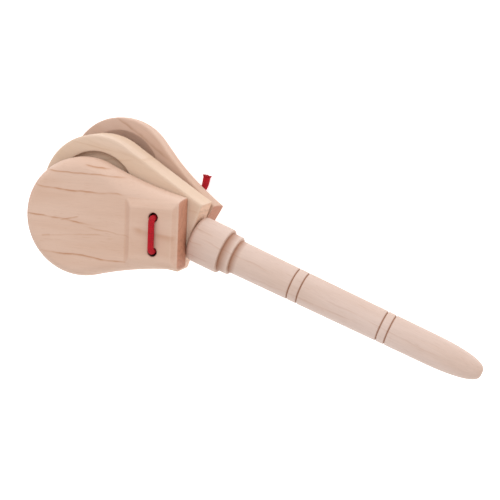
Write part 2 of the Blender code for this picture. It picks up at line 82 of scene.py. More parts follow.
class Wiring:
    """Adds nodes to one tree and links them by socket name."""

    def __init__(self, tree: bpy.types.NodeTree) -> None:
        """Keep the tree that the nodes go into."""
        self.tree = tree

    def node(self, kind: str, inputs: dict[str | int, Value] | None = None,
             **settings: object) -> bpy.types.Node:
        """Add one node.

        Args:
            kind: the node's type name.
            inputs: values or sockets for its inputs, by name or number.
            settings: properties of the node itself.

        Returns:
            The new node.
        """
        made = self.tree.nodes.new(kind)
        for name, value in settings.items():
            setattr(made, name, value)
        for name, value in (inputs or {}).items():
            self.put(made.inputs[name], value)
        return made

    def put(self, socket: Socket, value: Value) -> None:
        """Set a socket to a value, or link it if the value is a socket."""
        if isinstance(value, bpy.types.NodeSocket):
            self.tree.links.new(value, socket)
        else:
            socket.default_value = value

    def math(self, operation: str, first: Value, second: Value = 0.0, clamp: bool = False) -> Socket:
        """One math step on two numbers."""
        made = self.node("ShaderNodeMath", {0: first, 1: second}, operation=operation, use_clamp=clamp)
        return made.outputs[0]

    def plus(self, first: Value, second: Value) -> Socket:
        """The sum of two numbers."""
        return self.math("ADD", first, second)

    def minus(self, first: Value, second: Value) -> Socket:
        """One number less another."""
        return self.math("SUBTRACT", first, second)

    def times(self, first: Value, second: Value) -> Socket:
        """The product of two numbers."""
        return self.math("MULTIPLY", first, second)

    def over(self, first: Value, second: Value) -> Socket:
        """One number divided by another."""
        return self.math("DIVIDE", first, second)

    def vector(self, operation: str, first: Value, second: Value = (0.0, 0.0, 0.0)) -> Socket:
        """One vector step on two vectors."""
        return self.node("ShaderNodeVectorMath", {0: first, 1: second}, operation=operation).outputs[0]

    def scaled(self, first: Value, factor: Value) -> Socket:
        """A vector times a number."""
        return self.node("ShaderNodeVectorMath", {0: first, "Scale": factor}, operation="SCALE").outputs[0]

    def ramp(self, value: Value, low: float, high: float,
             to_low: float = 0.0, to_high: float = 1.0) -> Socket:
        """Ease a value from one range to another, held at the ends."""
        made = self.node("ShaderNodeMapRange", {"Value": value, "From Min": low, "From Max": high,
                                                "To Min": to_low, "To Max": to_high},
                         interpolation_type="SMOOTHSTEP")
        return made.outputs[0]

    def mix(self, factor: Value, first: Value, second: Value, blend: str = "MIX") -> Socket:
        """Mix two colours."""
        made = self.node("ShaderNodeMix", data_type="RGBA", blend_type=blend)
        self.put(made.inputs[0], factor)
        self.put(made.inputs[6], first)
        self.put(made.inputs[7], second)
        return made.outputs[2]

    def noise(self, place: Value, stretch: Place, detail: float = 2.0, seed: Value = 0.0) -> Socket:
        """Smooth noise over a place that is stretched first.

        Args:
            place: where, in millimetres.
            stretch: how many features to a millimetre along each axis.
            detail: octaves of finer noise.
            seed: shifts the noise to another piece of the same stuff.

        Returns:
            A value about 0.5.
        """
        spread = self.vector("MULTIPLY", place, stretch)
        made = self.node("ShaderNodeTexNoise", {"Vector": spread, "W": seed, "Scale": 1.0, "Detail": detail,
                                                "Roughness": 0.55}, noise_dimensions="4D")
        return made.outputs["Fac"]


Group = tuple[bpy.types.NodeTree, Wiring, bpy.types.Node, bpy.types.Node]


def open_group(name: str, inputs: list[tuple[str, str, Value | None]], outputs: list[tuple[str, str]],
               kind: str = "ShaderNodeTree") -> Group:
    """Start a node group with named sockets.

    Args:
        name: the group's name.
        inputs: name, socket type and default of each input.
        outputs: name and socket type of each output.
        kind: shader or geometry tree.

    Returns:
        The tree, its wiring, and its input and output nodes.
    """
    tree = bpy.data.node_groups.new(name, kind)
    for label, socket_type, default in inputs:
        socket = tree.interface.new_socket(label, in_out="INPUT", socket_type=socket_type)
        if default is not None:
            socket.default_value = default
    for label, socket_type in outputs:
        tree.interface.new_socket(label, in_out="OUTPUT", socket_type=socket_type)
    wiring = Wiring(tree)
    return tree, wiring, wiring.node("NodeGroupInput"), wiring.node("NodeGroupOutput")


# ---------------------------------------------------------------- finishes

@dataclass(frozen=True)
class GrainLine:
    """One dark growth line along a board's face, in millimetres in the piece's own frame."""

    start: float
    end: float
    height: float
    rise: float = 0.0
    width: float = 0.45
    strength: float = 0.5
    bend: float = 0.0


def grain_line_group() -> bpy.types.NodeTree:
    """The mask of one growth line: a soft dark streak that wanders a little and fades at its ends."""
    tree, w, source, result = open_group(
        "growth_line",
        [("Place", "NodeSocketVector", None), ("Start", "NodeSocketFloat", 0.0),
         ("End", "NodeSocketFloat", 1.0), ("Height", "NodeSocketFloat", 0.0),
         ("Rise", "NodeSocketFloat", 0.0), ("Bend", "NodeSocketFloat", 0.0),
         ("Width", "NodeSocketFloat", 0.5), ("Strength", "NodeSocketFloat", 0.5)],
        [("Mask", "NodeSocketFloat")])
    get = source.outputs
    parts = w.node("ShaderNodeSeparateXYZ", {0: get["Place"]})
    along = w.node("ShaderNodeMapRange", {"Value": parts.outputs[0], "From Min": get["Start"],
                                          "From Max": get["End"]}, clamp=False).outputs[0]
    bow = w.times(w.math("SINE", w.times(along, math.pi)), get["Bend"])
    wander = w.minus(w.noise(get["Place"], (0.09, 0.02, 0.02), 2.0, get["Height"]), 0.5)
    middle = w.plus(get["Height"], w.times(along, get["Rise"]))
    middle = w.plus(w.plus(middle, bow), w.times(wander, 2.2))
    off = w.over(w.minus(parts.outputs[1], middle), get["Width"])
    below = w.times(w.math("MINIMUM", off, 0.0), 0.45)
    above = w.math("MAXIMUM", off, 0.0)
    spread = w.plus(w.math("POWER", above, 2.0), w.math("POWER", w.math("ABSOLUTE", below), 2.0))
    ridge = w.math("EXPONENT", w.times(spread, -1.0))
    fade = w.times(w.ramp(along, 0.0, 0.22), w.ramp(along, 1.0, 0.82))
    patchy = w.ramp(w.noise(get["Place"], (0.14, 0.05, 0.05), 1.0, get["Start"]), 0.30, 0.62, 0.35, 1.0)
    mask = w.times(w.times(ridge, fade), w.times(patchy, get["Strength"]))
    w.put(result.inputs["Mask"], mask)
    return tree


def plain_wood_group() -> bpy.types.NodeTree:
    """Pale close-grained wood: broad tone, growth lines, fine fibres and short flecks along X."""
    tree, w, source, result = open_group(
        "plain_wood",
        [("Place", "NodeSocketVector", None), ("Pale", "NodeSocketColor", (0.7, 0.5, 0.35, 1.0)),
         ("Deep", "NodeSocketColor", (0.6, 0.4, 0.25, 1.0)),
         ("Line Colour", "NodeSocketColor", (0.4, 0.2, 0.1, 1.0)),
         ("Lines", "NodeSocketFloat", 0.0), ("Line Spacing", "NodeSocketFloat", 9.0),
         ("Line Strength", "NodeSocketFloat", 0.2), ("Fibre Strength", "NodeSocketFloat", 0.1),
         ("End Grain", "NodeSocketFloat", 0.0), ("End Tint", "NodeSocketColor", (0.86, 0.68, 0.60, 1.0)),
         ("Seed", "NodeSocketFloat", 0.0)],
        [("Color", "NodeSocketColor"), ("Roughness", "NodeSocketFloat"), ("Height", "NodeSocketFloat")])
    get = source.outputs
    place, seed = get["Place"], get["Seed"]
    parts = w.node("ShaderNodeSeparateXYZ", {0: place})
    swell = w.minus(w.noise(place, (0.018, 0.05, 0.05), 2.0, seed), 0.5)
    rings = w.over(w.plus(parts.outputs[1], w.times(parts.outputs[2], 0.35)),
                   get["Line Spacing"])
    rings = w.plus(w.plus(rings, w.times(swell, 3.4)), seed)
    late = w.math("POWER", w.math("FRACT", rings), 9.0)
    patchy = w.ramp(w.noise(place, (0.03, 0.11, 0.11), 2.0, w.plus(seed, 3.1)), 0.42, 0.68)
    late = w.times(w.times(late, patchy), get["Line Strength"])
    tone = w.ramp(w.noise(place, (0.012, 0.075, 0.075), 3.0, w.plus(seed, 7.7)), 0.34, 0.66)
    fibre = w.noise(place, (0.10, 2.4, 2.4), 3.0, w.plus(seed, 1.3))
    fine = w.noise(place, (0.35, 7.0, 7.0), 2.0, w.plus(seed, 5.9))
    fleck = w.ramp(w.noise(place, (0.22, 2.6, 2.6), 1.0, w.plus(seed, 9.4)), 0.63, 0.72)
    colour = w.mix(tone, get["Pale"], get["Deep"])
    marks = w.plus(late, w.times(fleck, w.times(get["Fibre Strength"], 1.6)))
    marks = w.math("MAXIMUM", marks, get["Lines"], clamp=True)
    colour = w.mix(marks, colour, get["Line Colour"])
    shade = w.minus(w.plus(w.times(fibre, 0.65), w.times(fine, 0.35)), 0.5)
    shade = w.plus(w.times(shade, w.times(get["Fibre Strength"], 1.8)), 1.0)
    colour = w.scaled(colour, shade)
    open_pores = w.noise(place, (1.6, 1.6, 1.6), 3.0, w.plus(seed, 2.2))
    end_tone = w.ramp(open_pores, 0.35, 0.65, 0.92, 1.05)
    ring_tone = w.ramp(w.math("FRACT", w.times(rings, 3.0)), 0.35, 1.0, 1.03, 0.90)
    # Faces along the grain take the end tint: end-grain colour and painted shade.
    end_grain_and_shade_colour = w.mix(1.0, colour, get["End Tint"], "MULTIPLY")
    end_grain_and_shade_colour = w.scaled(end_grain_and_shade_colour, w.times(end_tone, ring_tone))
    colour = w.mix(get["End Grain"], colour, end_grain_and_shade_colour)
    w.put(result.inputs["Color"], colour)
    rough = w.plus(w.times(fibre, 0.16), w.plus(w.times(marks, 0.1), 0.46))
    w.put(result.inputs["Roughness"], rough)
    height = w.minus(w.plus(w.times(fibre, 0.6), w.times(fine, 0.3)),
                    w.times(marks, 0.25))
    w.put(result.inputs["Height"], height)
    return tree


@dataclass(frozen=True)
class WoodFinish:
    """Sanded, unvarnished wood with its grain along the piece; painted shade darkens its creases, its cord
    holes and, with the end grain's own colour, its end faces.
    """

    name: str
    pale: Colour
    deep: Colour
    line: Colour
    seed: float
    spacing: float = 9.0
    line_strength: float = 0.22
    fibre_strength: float = 0.10
    # End tint: end-grain colour and painted shade on faces along the grain.
    end_tint: Colour = (0.77, 0.50, 0.40)
    # Crease tint and strength: painted shade, darker where the surface is concave.
    crease_tint: Colour = (0.80, 0.60, 0.45)
    crease_strength: float = 0.75
    # Bore tone: painted shade, near black inside the cord holes.
    bore_tone: Colour = (0.045, 0.012, 0.008)
    wear_strength: float = 0.30
    lines: tuple[GrainLine, ...] = ()

    def make(self, grain_frame: Matrix) -> bpy.types.Material:
        """Build the material.

        Args:
            grain_frame: the piece's own frame, whose X axis the grain follows.

        Returns:
            The finished material.
        """
        material = bpy.data.materials.new(self.name)
        material.use_nodes = True
        w = Wiring(material.node_tree)
        shader = material.node_tree.nodes["Principled BSDF"]
        turn = grain_frame.to_3x3().inverted()
        shift = turn @ grain_frame.translation * (-1.0 / MM)
        where = w.node("ShaderNodeTexCoord").outputs["Object"]
        place = w.node("ShaderNodeMapping", {"Vector": where, "Location": shift, "Rotation": turn.to_euler(),
                                             "Scale": (1.0 / MM,) * 3}).outputs[0]
        mask: Value = 0.0
        for line in self.lines:
            values = {"Place": place, **{label.title(): value for label, value in vars(line).items()}}
            streak = w.node("ShaderNodeGroup", values, node_tree=shared_group("growth_line"))
            mask = w.math("MAXIMUM", streak.outputs[0], mask)
        values = {"Place": place, "Pale": (*self.pale, 1.0), "Deep": (*self.deep, 1.0),
                  "Line Colour": (*self.line, 1.0), "Lines": mask, "Line Spacing": self.spacing,
                  "Line Strength": self.line_strength, "Fibre Strength": self.fibre_strength,
                  "End Grain": attribute(w, "end_grain"), "End Tint": (*self.end_tint, 1.0),
                  "Seed": self.seed}
        wood = w.node("ShaderNodeGroup", values, node_tree=shared_group("plain_wood"))
        colour = wood.outputs["Color"]
        wear = w.times(attribute(w, "edge_wear"), self.wear_strength)
        colour = w.mix(wear, colour, (*self.pale, 1.0))
        # Painted shade: darker in concave creases.
        crease = w.times(attribute(w, "crease"), self.crease_strength)
        colour = w.mix(crease, colour, w.mix(1.0, colour, (*self.crease_tint, 1.0), "MULTIPLY"))
        # Painted shade: near black inside the cord holes.
        colour = w.mix(attribute(w, "bore"), colour, (*self.bore_tone, 1.0))
        w.put(shader.inputs["Base Color"], colour)
        w.put(shader.inputs["Roughness"], wood.outputs["Roughness"])
        shader.inputs["Specular IOR Level"].default_value = 0.30
        bump = w.node("ShaderNodeBump", {"Height": wood.outputs["Height"], "Strength": 0.22,
                                         "Distance": 0.12 * MM})
        w.put(shader.inputs["Normal"], bump.outputs[0])
        return material


def attribute(w: Wiring, name: str) -> Socket:
    """A value that the piece's own mesh carries."""
    return w.node("ShaderNodeAttribute", attribute_name=name).outputs["Fac"]


@dataclass(frozen=True)
class CordFinish:
    """Dyed braided cord: each yarn has a twist of fine filaments."""

    name: str
    bright: Colour = (0.56, 0.003, 0.015)
    dark: Colour = (0.24, 0.001, 0.008)

    def make(self) -> bpy.types.Material:
        """Build the material.

        Returns:
            The finished material.
        """
        material = bpy.data.materials.new(self.name)
        material.use_nodes = True
        w = Wiring(material.node_tree)
        shader = material.node_tree.nodes["Principled BSDF"]
        where = w.scaled(w.node("ShaderNodeTexCoord").outputs["Object"], 1.0 / MM)
        along, round_yarn = attribute(w, "yarn_length"), attribute(w, "yarn_turn")
        twist = w.plus(w.times(along, 9.0), w.times(round_yarn, TURN * 3.0))
        filament = w.plus(w.times(w.math("SINE", twist), 0.5), 0.5)
        fuzz = w.noise(where, (3.0, 3.0, 3.0), 3.0, 1.7)
        cloudy = w.noise(where, (0.35, 0.35, 0.35), 2.0, 4.2)
        shade = w.plus(w.times(filament, 0.35), w.times(fuzz, 0.65))
        shade = w.ramp(w.plus(w.times(shade, 0.75), w.times(cloudy, 0.25)), 0.25, 0.65)
        w.put(shader.inputs["Base Color"], w.mix(shade, (*self.dark, 1.0), (*self.bright, 1.0)))
        w.put(shader.inputs["Roughness"], w.ramp(fuzz, 0.2, 0.8, 0.48, 0.72))
        shader.inputs["Sheen Weight"].default_value = 0.04
        shader.inputs["Specular IOR Level"].default_value = 0.25
        height = w.plus(w.times(filament, 0.6), w.times(fuzz, 0.4))
        bump = w.node("ShaderNodeBump", {"Height": height, "Strength": 0.45, "Distance": 0.08 * MM})
        w.put(shader.inputs["Normal"], bump.outputs[0])
        return material


GROUP_MAKERS = {"growth_line": grain_line_group, "plain_wood": plain_wood_group}


def shared_group(name: str) -> bpy.types.NodeTree:
    """A shader group, made the first time that it is asked for."""
    return bpy.data.node_groups.get(name) or GROUP_MAKERS[name]()


class Finish(Enum):
    """The finishes that the pieces wear."""

    BOARD = WoodFinish(
        "board_sanded_wood", (0.690, 0.520, 0.410), (0.650, 0.475, 0.350), (0.50, 0.30, 0.17), 2.4,
        spacing=8.0, line_strength=0.10, end_tint=(1.0, 0.87, 0.80),
        lines=(GrainLine(-80.0, -36.0, 7.0, 20.0, 0.30, 0.42),
               GrainLine(-82.0, -16.0, 19.0, 9.0, 0.26, 0.34, 1.0),
               GrainLine(-70.0, -20.0, 23.0, 2.0, 0.60, 0.20, 1.4),
               GrainLine(-40.0, 4.0, 12.0, 2.0, 0.26, 0.36),
               GrainLine(-84.0, -30.0, -9.0, 3.0, 0.30, 0.40),
               GrainLine(-76.0, -20.0, -21.0, -2.0, 0.30, 0.40)))
    HANDLE = WoodFinish(
        "handle_turned_wood", (0.665, 0.515, 0.452), (0.610, 0.450, 0.375), (0.45, 0.25, 0.16), 5.1,
        # End tint: end-grain colour and painted shade on the nose and the step walls.
        spacing=6.0, line_strength=0.08, fibre_strength=0.15, end_tint=(0.86, 0.77, 0.69),
        # Crease tint: painted shade in the grooves and at the steps' creases.
        crease_tint=(0.52, 0.30, 0.19), crease_strength=0.95,
        lines=(GrainLine(26.0, 96.0, -4.4, 3.0, 0.22, 0.30), GrainLine(2.0, 46.0, 3.8, -1.4, 0.20, 0.34),
               GrainLine(60.0, 140.0, 2.6, -2.2, 0.20, 0.24), GrainLine(0.0, 14.0, -6.4, 0.8, 0.20, 0.40),
               GrainLine(0.0, 12.0, 7.4, -0.6, 0.18, 0.44), GrainLine(0.0, 9.0, 0.4, 0.4, 0.18, 0.44)))
    FRONT = WoodFinish(
        "front_shell_sanded_wood", (0.650, 0.455, 0.358), (0.605, 0.402, 0.302), (0.42, 0.185, 0.085), 8.3,
        spacing=14.0, line_strength=0.06,
        lines=(GrainLine(-80.0, -24.0, 19.6, -1.9, 0.27, 0.80, -0.9),
               GrainLine(-84.0, -42.0, 5.0, -4.0, 0.24, 0.80, 0.6),
               GrainLine(-62.0, -51.0, 2.8, 2.4, 0.22, 0.66),
               GrainLine(-80.0, -22.0, -13.0, -2.4, 0.26, 0.80, 0.3),
               GrainLine(-76.0, -26.0, 26.9, -1.2, 0.23, 0.68),
               GrainLine(-50.0, -36.0, 31.0, -2.2, 0.23, 0.90),
               GrainLine(-74.0, -36.0, -6.4, 3.6, 0.20, 0.34, 0.8),
               GrainLine(-50.0, -22.0, 0.8, -3.4, 0.22, 0.40),
               GrainLine(-24.0, 2.0, 2.2, -3.6, 1.00, 0.44),
               GrainLine(-72.0, -66.0, -5.6, 0.6, 0.30, 0.40),
               GrainLine(-70.0, -20.0, -22.5, -1.0, 0.25, 0.22)))
    BACK = WoodFinish(
        "back_shell_sanded_wood", (0.620, 0.428, 0.338), (0.555, 0.360, 0.264), (0.36, 0.18, 0.10), 13.6,
        spacing=7.0, line_strength=0.34,
        lines=(GrainLine(-80.0, -30.0, -24.0, 2.0, 0.40, 0.50, -1.0),
               GrainLine(-70.0, 0.0, -19.0, 4.0, 0.30, 0.46),
               GrainLine(-82.0, -20.0, 9.0, 3.0, 0.26, 0.46),
               GrainLine(-80.0, -26.0, 19.0, -3.0, 0.26, 0.42)))
    CORD = CordFinish("red_braided_cord")


# ---------------------------------------------------------------- mesh helpers

def mesh_object(name: str, mesh: bpy.types.Mesh) -> bpy.types.Object:
    """Put a mesh in the scene."""
    made = bpy.data.objects.new(name, mesh)
    bpy.context.scene.collection.objects.link(made)
    return made


def bmesh_object(name: str, bm: bmesh.types.BMesh) -> bpy.types.Object:
    """Put a bmesh in the scene and free it."""
    mesh = bpy.data.meshes.new(name)
    bm.to_mesh(mesh)
    bm.free()
    return mesh_object(name, mesh)


def applied(made: bpy.types.Object, name: str) -> bpy.types.Object:
    """Swap an object for the plain mesh that its modifiers give.

    Args:
        made: the object with live modifiers; it is removed.
        name: the new object's name.

    Returns:
        A plain mesh object at the origin.
    """
    bpy.context.view_layer.update()
    evaluated = made.evaluated_get(bpy.context.evaluated_depsgraph_get())
    mesh = bpy.data.meshes.new_from_object(evaluated)
    bpy.data.objects.remove(made, do_unlink=True)
    mesh.name = name
    return mesh_object(name, mesh)


def arc(centre: Point, radius: float, start: float, end: float, count: int) -> list[Point]:
    """Points along an arc, its angles in radians."""
    angles = [start + (end - start) * index / count for index in range(count + 1)]
    return [(centre[0] + radius * math.cos(a), centre[1] + radius * math.sin(a)) for a in angles]


def turned_cutter(name: str, profile: list[Point], steps: int) -> bpy.types.Object:
    """A closed solid turned about Z from a profile of (radius, height), top to bottom."""
    bm = bmesh.new()
    rings = []
    for radius, height in profile:
        if radius == 0.0:
            rings.append([bm.verts.new((0.0, 0.0, height))])
            continue
        angles = [TURN * index / steps for index in range(steps)]
        rings.append([bm.verts.new((radius * math.cos(a), radius * math.sin(a), height)) for a in angles])
    for upper, lower in zip(rings, rings[1:]):
        for index in range(steps):
            after = (index + 1) % steps
            corners = [upper[index % len(upper)], lower[index % len(lower)],
                       lower[after % len(lower)], upper[after % len(upper)]]
            bm.faces.new(list(dict.fromkeys(corners)))
    bmesh.ops.recalc_face_normals(bm, faces=bm.faces)
    return bmesh_object(name, bm)


def neighbour_mean(values: np.ndarray, edges: np.ndarray, count: int) -> np.ndarray:
    """Each vertex's mean of its neighbours' values."""
    total = np.zeros(count)
    number = np.zeros(count)
    for near, far in ((0, 1), (1, 0)):
        np.add.at(total, edges[:, near], values[edges[:, far]])
        np.add.at(number, edges[:, near], 1.0)
    return total / np.maximum(number, 1.0)


def surface_of(mesh: bpy.types.Mesh) -> tuple[np.ndarray, np.ndarray]:
    """The place and the normal of every vertex."""
    count = len(mesh.vertices)
    place, normal = np.zeros(count * 3), np.zeros(count * 3, np.float32)
    mesh.vertices.foreach_get("co", place)
    mesh.vertex_normals.foreach_get("vector", normal)
    return place.reshape(-1, 3), normal.reshape(-1, 3)


def store(mesh: bpy.types.Mesh, name: str, values: np.ndarray) -> None:
    """Keep one number for each vertex on the mesh."""
    layer = mesh.attributes.new(name, "FLOAT", "POINT")
    layer.data.foreach_set("value", np.asarray(values, np.float32))


def hand_over(piece: bpy.types.Object, node: str, body: str) -> None:
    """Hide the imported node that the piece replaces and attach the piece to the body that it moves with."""
    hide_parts(node)
    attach(piece, body)
    LOG.info("%s: %d faces", piece.name, len(piece.data.polygons))


# ---------------------------------------------------------------- wooden boards

@dataclass(frozen=True)
class PaddleOutline:
    """A round end and two long sides that run to a square neck end at x = 0."""

    length: float
    neck_half: float
    waist_radius: float
    lean: float = 0.0
    round_radius: float = 29.5 * MM

    def middle(self) -> Point:
        """The middle of the round end."""
        return (-self.length * math.cos(self.lean), self.length * math.sin(self.lean))

    def side(self, corner: Point, side: float, count: int) -> tuple[list[Point], float]:
        """A hollow side from a neck corner to where it runs into the round end.

        Args:
            corner: the neck corner.
            side: 1 for the +Y side, -1 for the -Y side.
            count: number of steps.

        Returns:
            The points without the last one, and the angle at which the side meets the round end.
        """
        centre = Vector(self.middle())
        across = Vector(corner) - centre
        reach = self.round_radius + self.waist_radius
        along = (reach ** 2 - self.waist_radius ** 2 + across.length_squared) / (2.0 * across.length)
        aside = math.sqrt(reach ** 2 - along ** 2)
        unit = across.normalized()
        pole = centre + along * unit + side * aside * Vector((-unit.y, unit.x))
        meeting = math.atan2(pole.y - centre.y, pole.x - centre.x)
        start = math.atan2(corner[1] - pole.y, corner[0] - pole.x)
        turn = math.remainder(meeting + side * math.pi - start, TURN)
        return arc(pole, self.waist_radius, start, start + turn, count)[:-1], meeting

    def points(self, round_count: int = 150, side_count: int = 44) -> list[Point]:
        """The outline's points, from the neck's +Y corner round the cup to its -Y corner."""
        upper_side, upper = self.side((0.0, self.neck_half), 1.0, side_count)
        lower_side, lower = self.side((0.0, -self.neck_half), -1.0, side_count)
        round_end = arc(self.middle(), self.round_radius, upper, lower + TURN, round_count)
        return upper_side + round_end + lower_side[::-1]


@dataclass
class WoodPiece:
    """A sanded wooden piece: cut to shape, skinned with an even mesh and eased at its edges."""

    node: str
    body: str
    slot: str
    finish: Finish
    grain_frame: Matrix
    skin: float = 0.42 * MM
    sanding: int = 3
    bore_places: tuple[Point, ...] = ()
    bore_radius: float = 2.2 * MM
    cutters: list[bpy.types.Object] = field(default_factory=list)

    def take_away(self, blank: bpy.types.Object, cutter: bpy.types.Object,
                  operation: str = "DIFFERENCE") -> None:
        """Cut a shape out of the blank, or join it on."""
        boolean = blank.modifiers.new(cutter.name, "BOOLEAN")
        boolean.operation = operation
        boolean.solver = "EXACT"
        boolean.object = cutter
        self.cutters.append(cutter)

    def sand(self, blank: bpy.types.Object) -> bpy.types.Object:
        """Give the cut blank an even skin with eased edges, and put it in its place.

        Args:
            blank: the cut shape in the piece's own frame.

        Returns:
            The finished piece.
        """
        cut = applied(blank, "cut_" + self.node)
        for cutter in self.cutters:
            bpy.data.objects.remove(cutter, do_unlink=True)
        remesh = cut.modifiers.new("even_skin", "REMESH")
        remesh.mode = "VOXEL"
        remesh.voxel_size = self.skin
        ease = cut.modifiers.new("sanding", "SMOOTH")
        ease.factor = 0.5
        ease.iterations = self.sanding
        piece = applied(cut, "sanded_" + self.node)
        self.note_surface(piece.data)
        piece.data.transform(self.grain_frame)
        piece.data.shade_smooth()
        return piece

    def note_surface(self, mesh: bpy.types.Mesh) -> None:
        """Store what the finish needs: end-grain colour with painted shade on end faces, worn edges, painted
        shade in creases and painted shade in the bores.
        """
        place, normal = surface_of(mesh)
        count = len(place)
        edges = np.zeros(len(mesh.edges) * 2, np.int32)
        mesh.edges.foreach_get("vertices", edges)
        edges = edges.reshape(-1, 2)
        step = place[edges[:, 1]] - place[edges[:, 0]]
        step /= np.maximum(np.linalg.norm(step, axis=1, keepdims=True), 1e-9)
        lift = np.zeros(count)
        np.add.at(lift, edges[:, 0], (normal[edges[:, 0]] * step).sum(1))
        np.add.at(lift, edges[:, 1], -(normal[edges[:, 1]] * step).sum(1))
        for _ in range(2):
            lift = 0.5 * lift + 0.5 * neighbour_mean(lift, edges, count)
        # End-grain colour and painted shade on faces along the grain.
        store(mesh, "end_grain", np.clip(np.abs(normal[:, 0]) * 2.0 - 1.0, 0.0, 1.0) ** 1.2)
        store(mesh, "edge_wear", np.clip(-lift * 2.2, 0.0, 1.0))
        # Painted shade: darker where the surface is concave.
        store(mesh, "crease", np.clip(lift * 1.6 - 0.05, 0.0, 1.0))
        # Painted shade on the walls of the cord holes.
        bore = np.zeros(count)
        for x, y in self.bore_places:
            reach = np.hypot(place[:, 0] - x, place[:, 1] - y)
            bore = np.maximum(bore, np.clip((self.bore_radius + 0.25 * MM - reach) / (0.3 * MM), 0.0, 1.0))
        store(mesh, "bore", bore * (1.0 - np.abs(normal[:, 2])))

    def dress(self, piece: bpy.types.Object) -> None:
        """Give the piece its finish, attach it to its body and hide the node that it replaces."""
        piece.data.materials.clear()
        piece.data.materials.append(self.finish.value.make(self.grain_frame))
        hand_over(piece, self.node, self.body)

    def hole(self, name: str, place: Point, height: float, middle: float) -> bpy.types.Object:
        """A drill for one cord hole, countersunk a little at both faces."""
        sink = 0.5 * MM
        flare = self.bore_radius + 2.0 * sink
        top = height / 2.0
        profile = [(0.0, top + sink), (flare, top + sink), (self.bore_radius, top - sink),
                   (self.bore_radius, sink - top), (flare, -sink - top), (0.0, -sink - top)]
        drill = turned_cutter(name, profile, 48)
        drill.location = (*place, middle)
        return drill


def lofted(name: str, loops: list[list[Place]]) -> bpy.types.Object:
    """A closed solid through loops of the same count, listed from the bottom up."""
    bm = bmesh.new()
    rows = [[bm.verts.new(point) for point in loop] for loop in loops]
    for lower, upper in zip(rows, rows[1:]):
        for index in range(len(lower)):
            after = (index + 1) % len(lower)
            bm.faces.new((lower[index], lower[after], upper[after], upper[index]))
    bm.faces.new(rows[-1])
    bm.faces.new(reversed(rows[0]))
    bmesh.ops.recalc_face_normals(bm, faces=bm.faces)
    return bmesh_object(name, bm)


def inward_normals(outline: list[Point]) -> list[Vector]:
    """The direction into the wood at each point of an outline that starts and ends at the neck."""
    last = len(outline) - 1
    found = []
    for index in range(last + 1):
        before, after = outline[max(index - 1, 0)], outline[min(index + 1, last)]
        along = Vector((after[0] - before[0], after[1] - before[1])).normalized()
        found.append(Vector((-along.y, along.x)))
    found[0], found[-1] = Vector((0.0, -1.0)), Vector((0.0, 1.0))
    return found


@dataclass
class CentreBoard(WoodPiece):
    """The middle board, with a turned recess in each face, two cord holes and the handle's socket."""

    outline: PaddleOutline = PaddleOutline(54.1 * MM, 18.1 * MM, 3.0)
    thickness: float = 14.8 * MM
    edge_round: float = 1.0 * MM
    recess_radius: float = 21.4 * MM
    recess_depth: float = 3.0 * MM
    socket_radius: float = 5.3 * MM
    socket_depth: float = 8.8 * MM

    def build(self) -> bpy.types.Object:
        """Cut, sand and dress the board.

        Returns:
            The finished board.
        """
        points = self.outline.points()
        normals = inward_normals(points)
        half = self.thickness / 2.0
        loops = []
        quarter = [math.pi / 2.0 * index / 5 for index in range(6)]
        for angle in [-a for a in quarter[::-1]] + quarter:
            inset = self.edge_round * (1.0 - math.cos(angle))
            height = math.copysign(half - self.edge_round, angle) + self.edge_round * math.sin(angle)
            rows = [(x + n.x * inset - (inset if x > -0.01 * MM else 0.0), y + n.y * inset, height)
                    for (x, y), n in zip(points, normals)]
            loops.append(rows)
        blank = lofted("board_blank", loops)
        for facing in (1.0, -1.0):
            corner = 0.8 * self.recess_depth
            floor = arc((self.recess_radius - corner, corner - self.recess_depth), corner,
                        0.0, -math.pi / 2.0, 10)
            profile = [(0.0, MM), (self.recess_radius, MM)] + floor + [(0.0, -self.recess_depth)]
            recess = turned_cutter("recess", profile, 120)
            recess.location = (*self.outline.middle(), facing * half)
            recess.rotation_euler = (0.0 if facing > 0.0 else math.pi, 0.0, 0.0)
            self.take_away(blank, recess)
        for place in self.bore_places:
            self.take_away(blank, self.hole("cord_drill", place, self.thickness, 0.0))
        profile = [(0.0, MM), (self.socket_radius, MM), (self.socket_radius, -self.socket_depth),
                   (0.0, -self.socket_depth)]
        socket = turned_cutter("handle_socket", profile, 64)
        socket.rotation_euler = (0.0, math.pi / 2.0, 0.0)
        self.take_away(blank, socket)
        piece = self.sand(blank)
        self.dress(piece)
        return piece


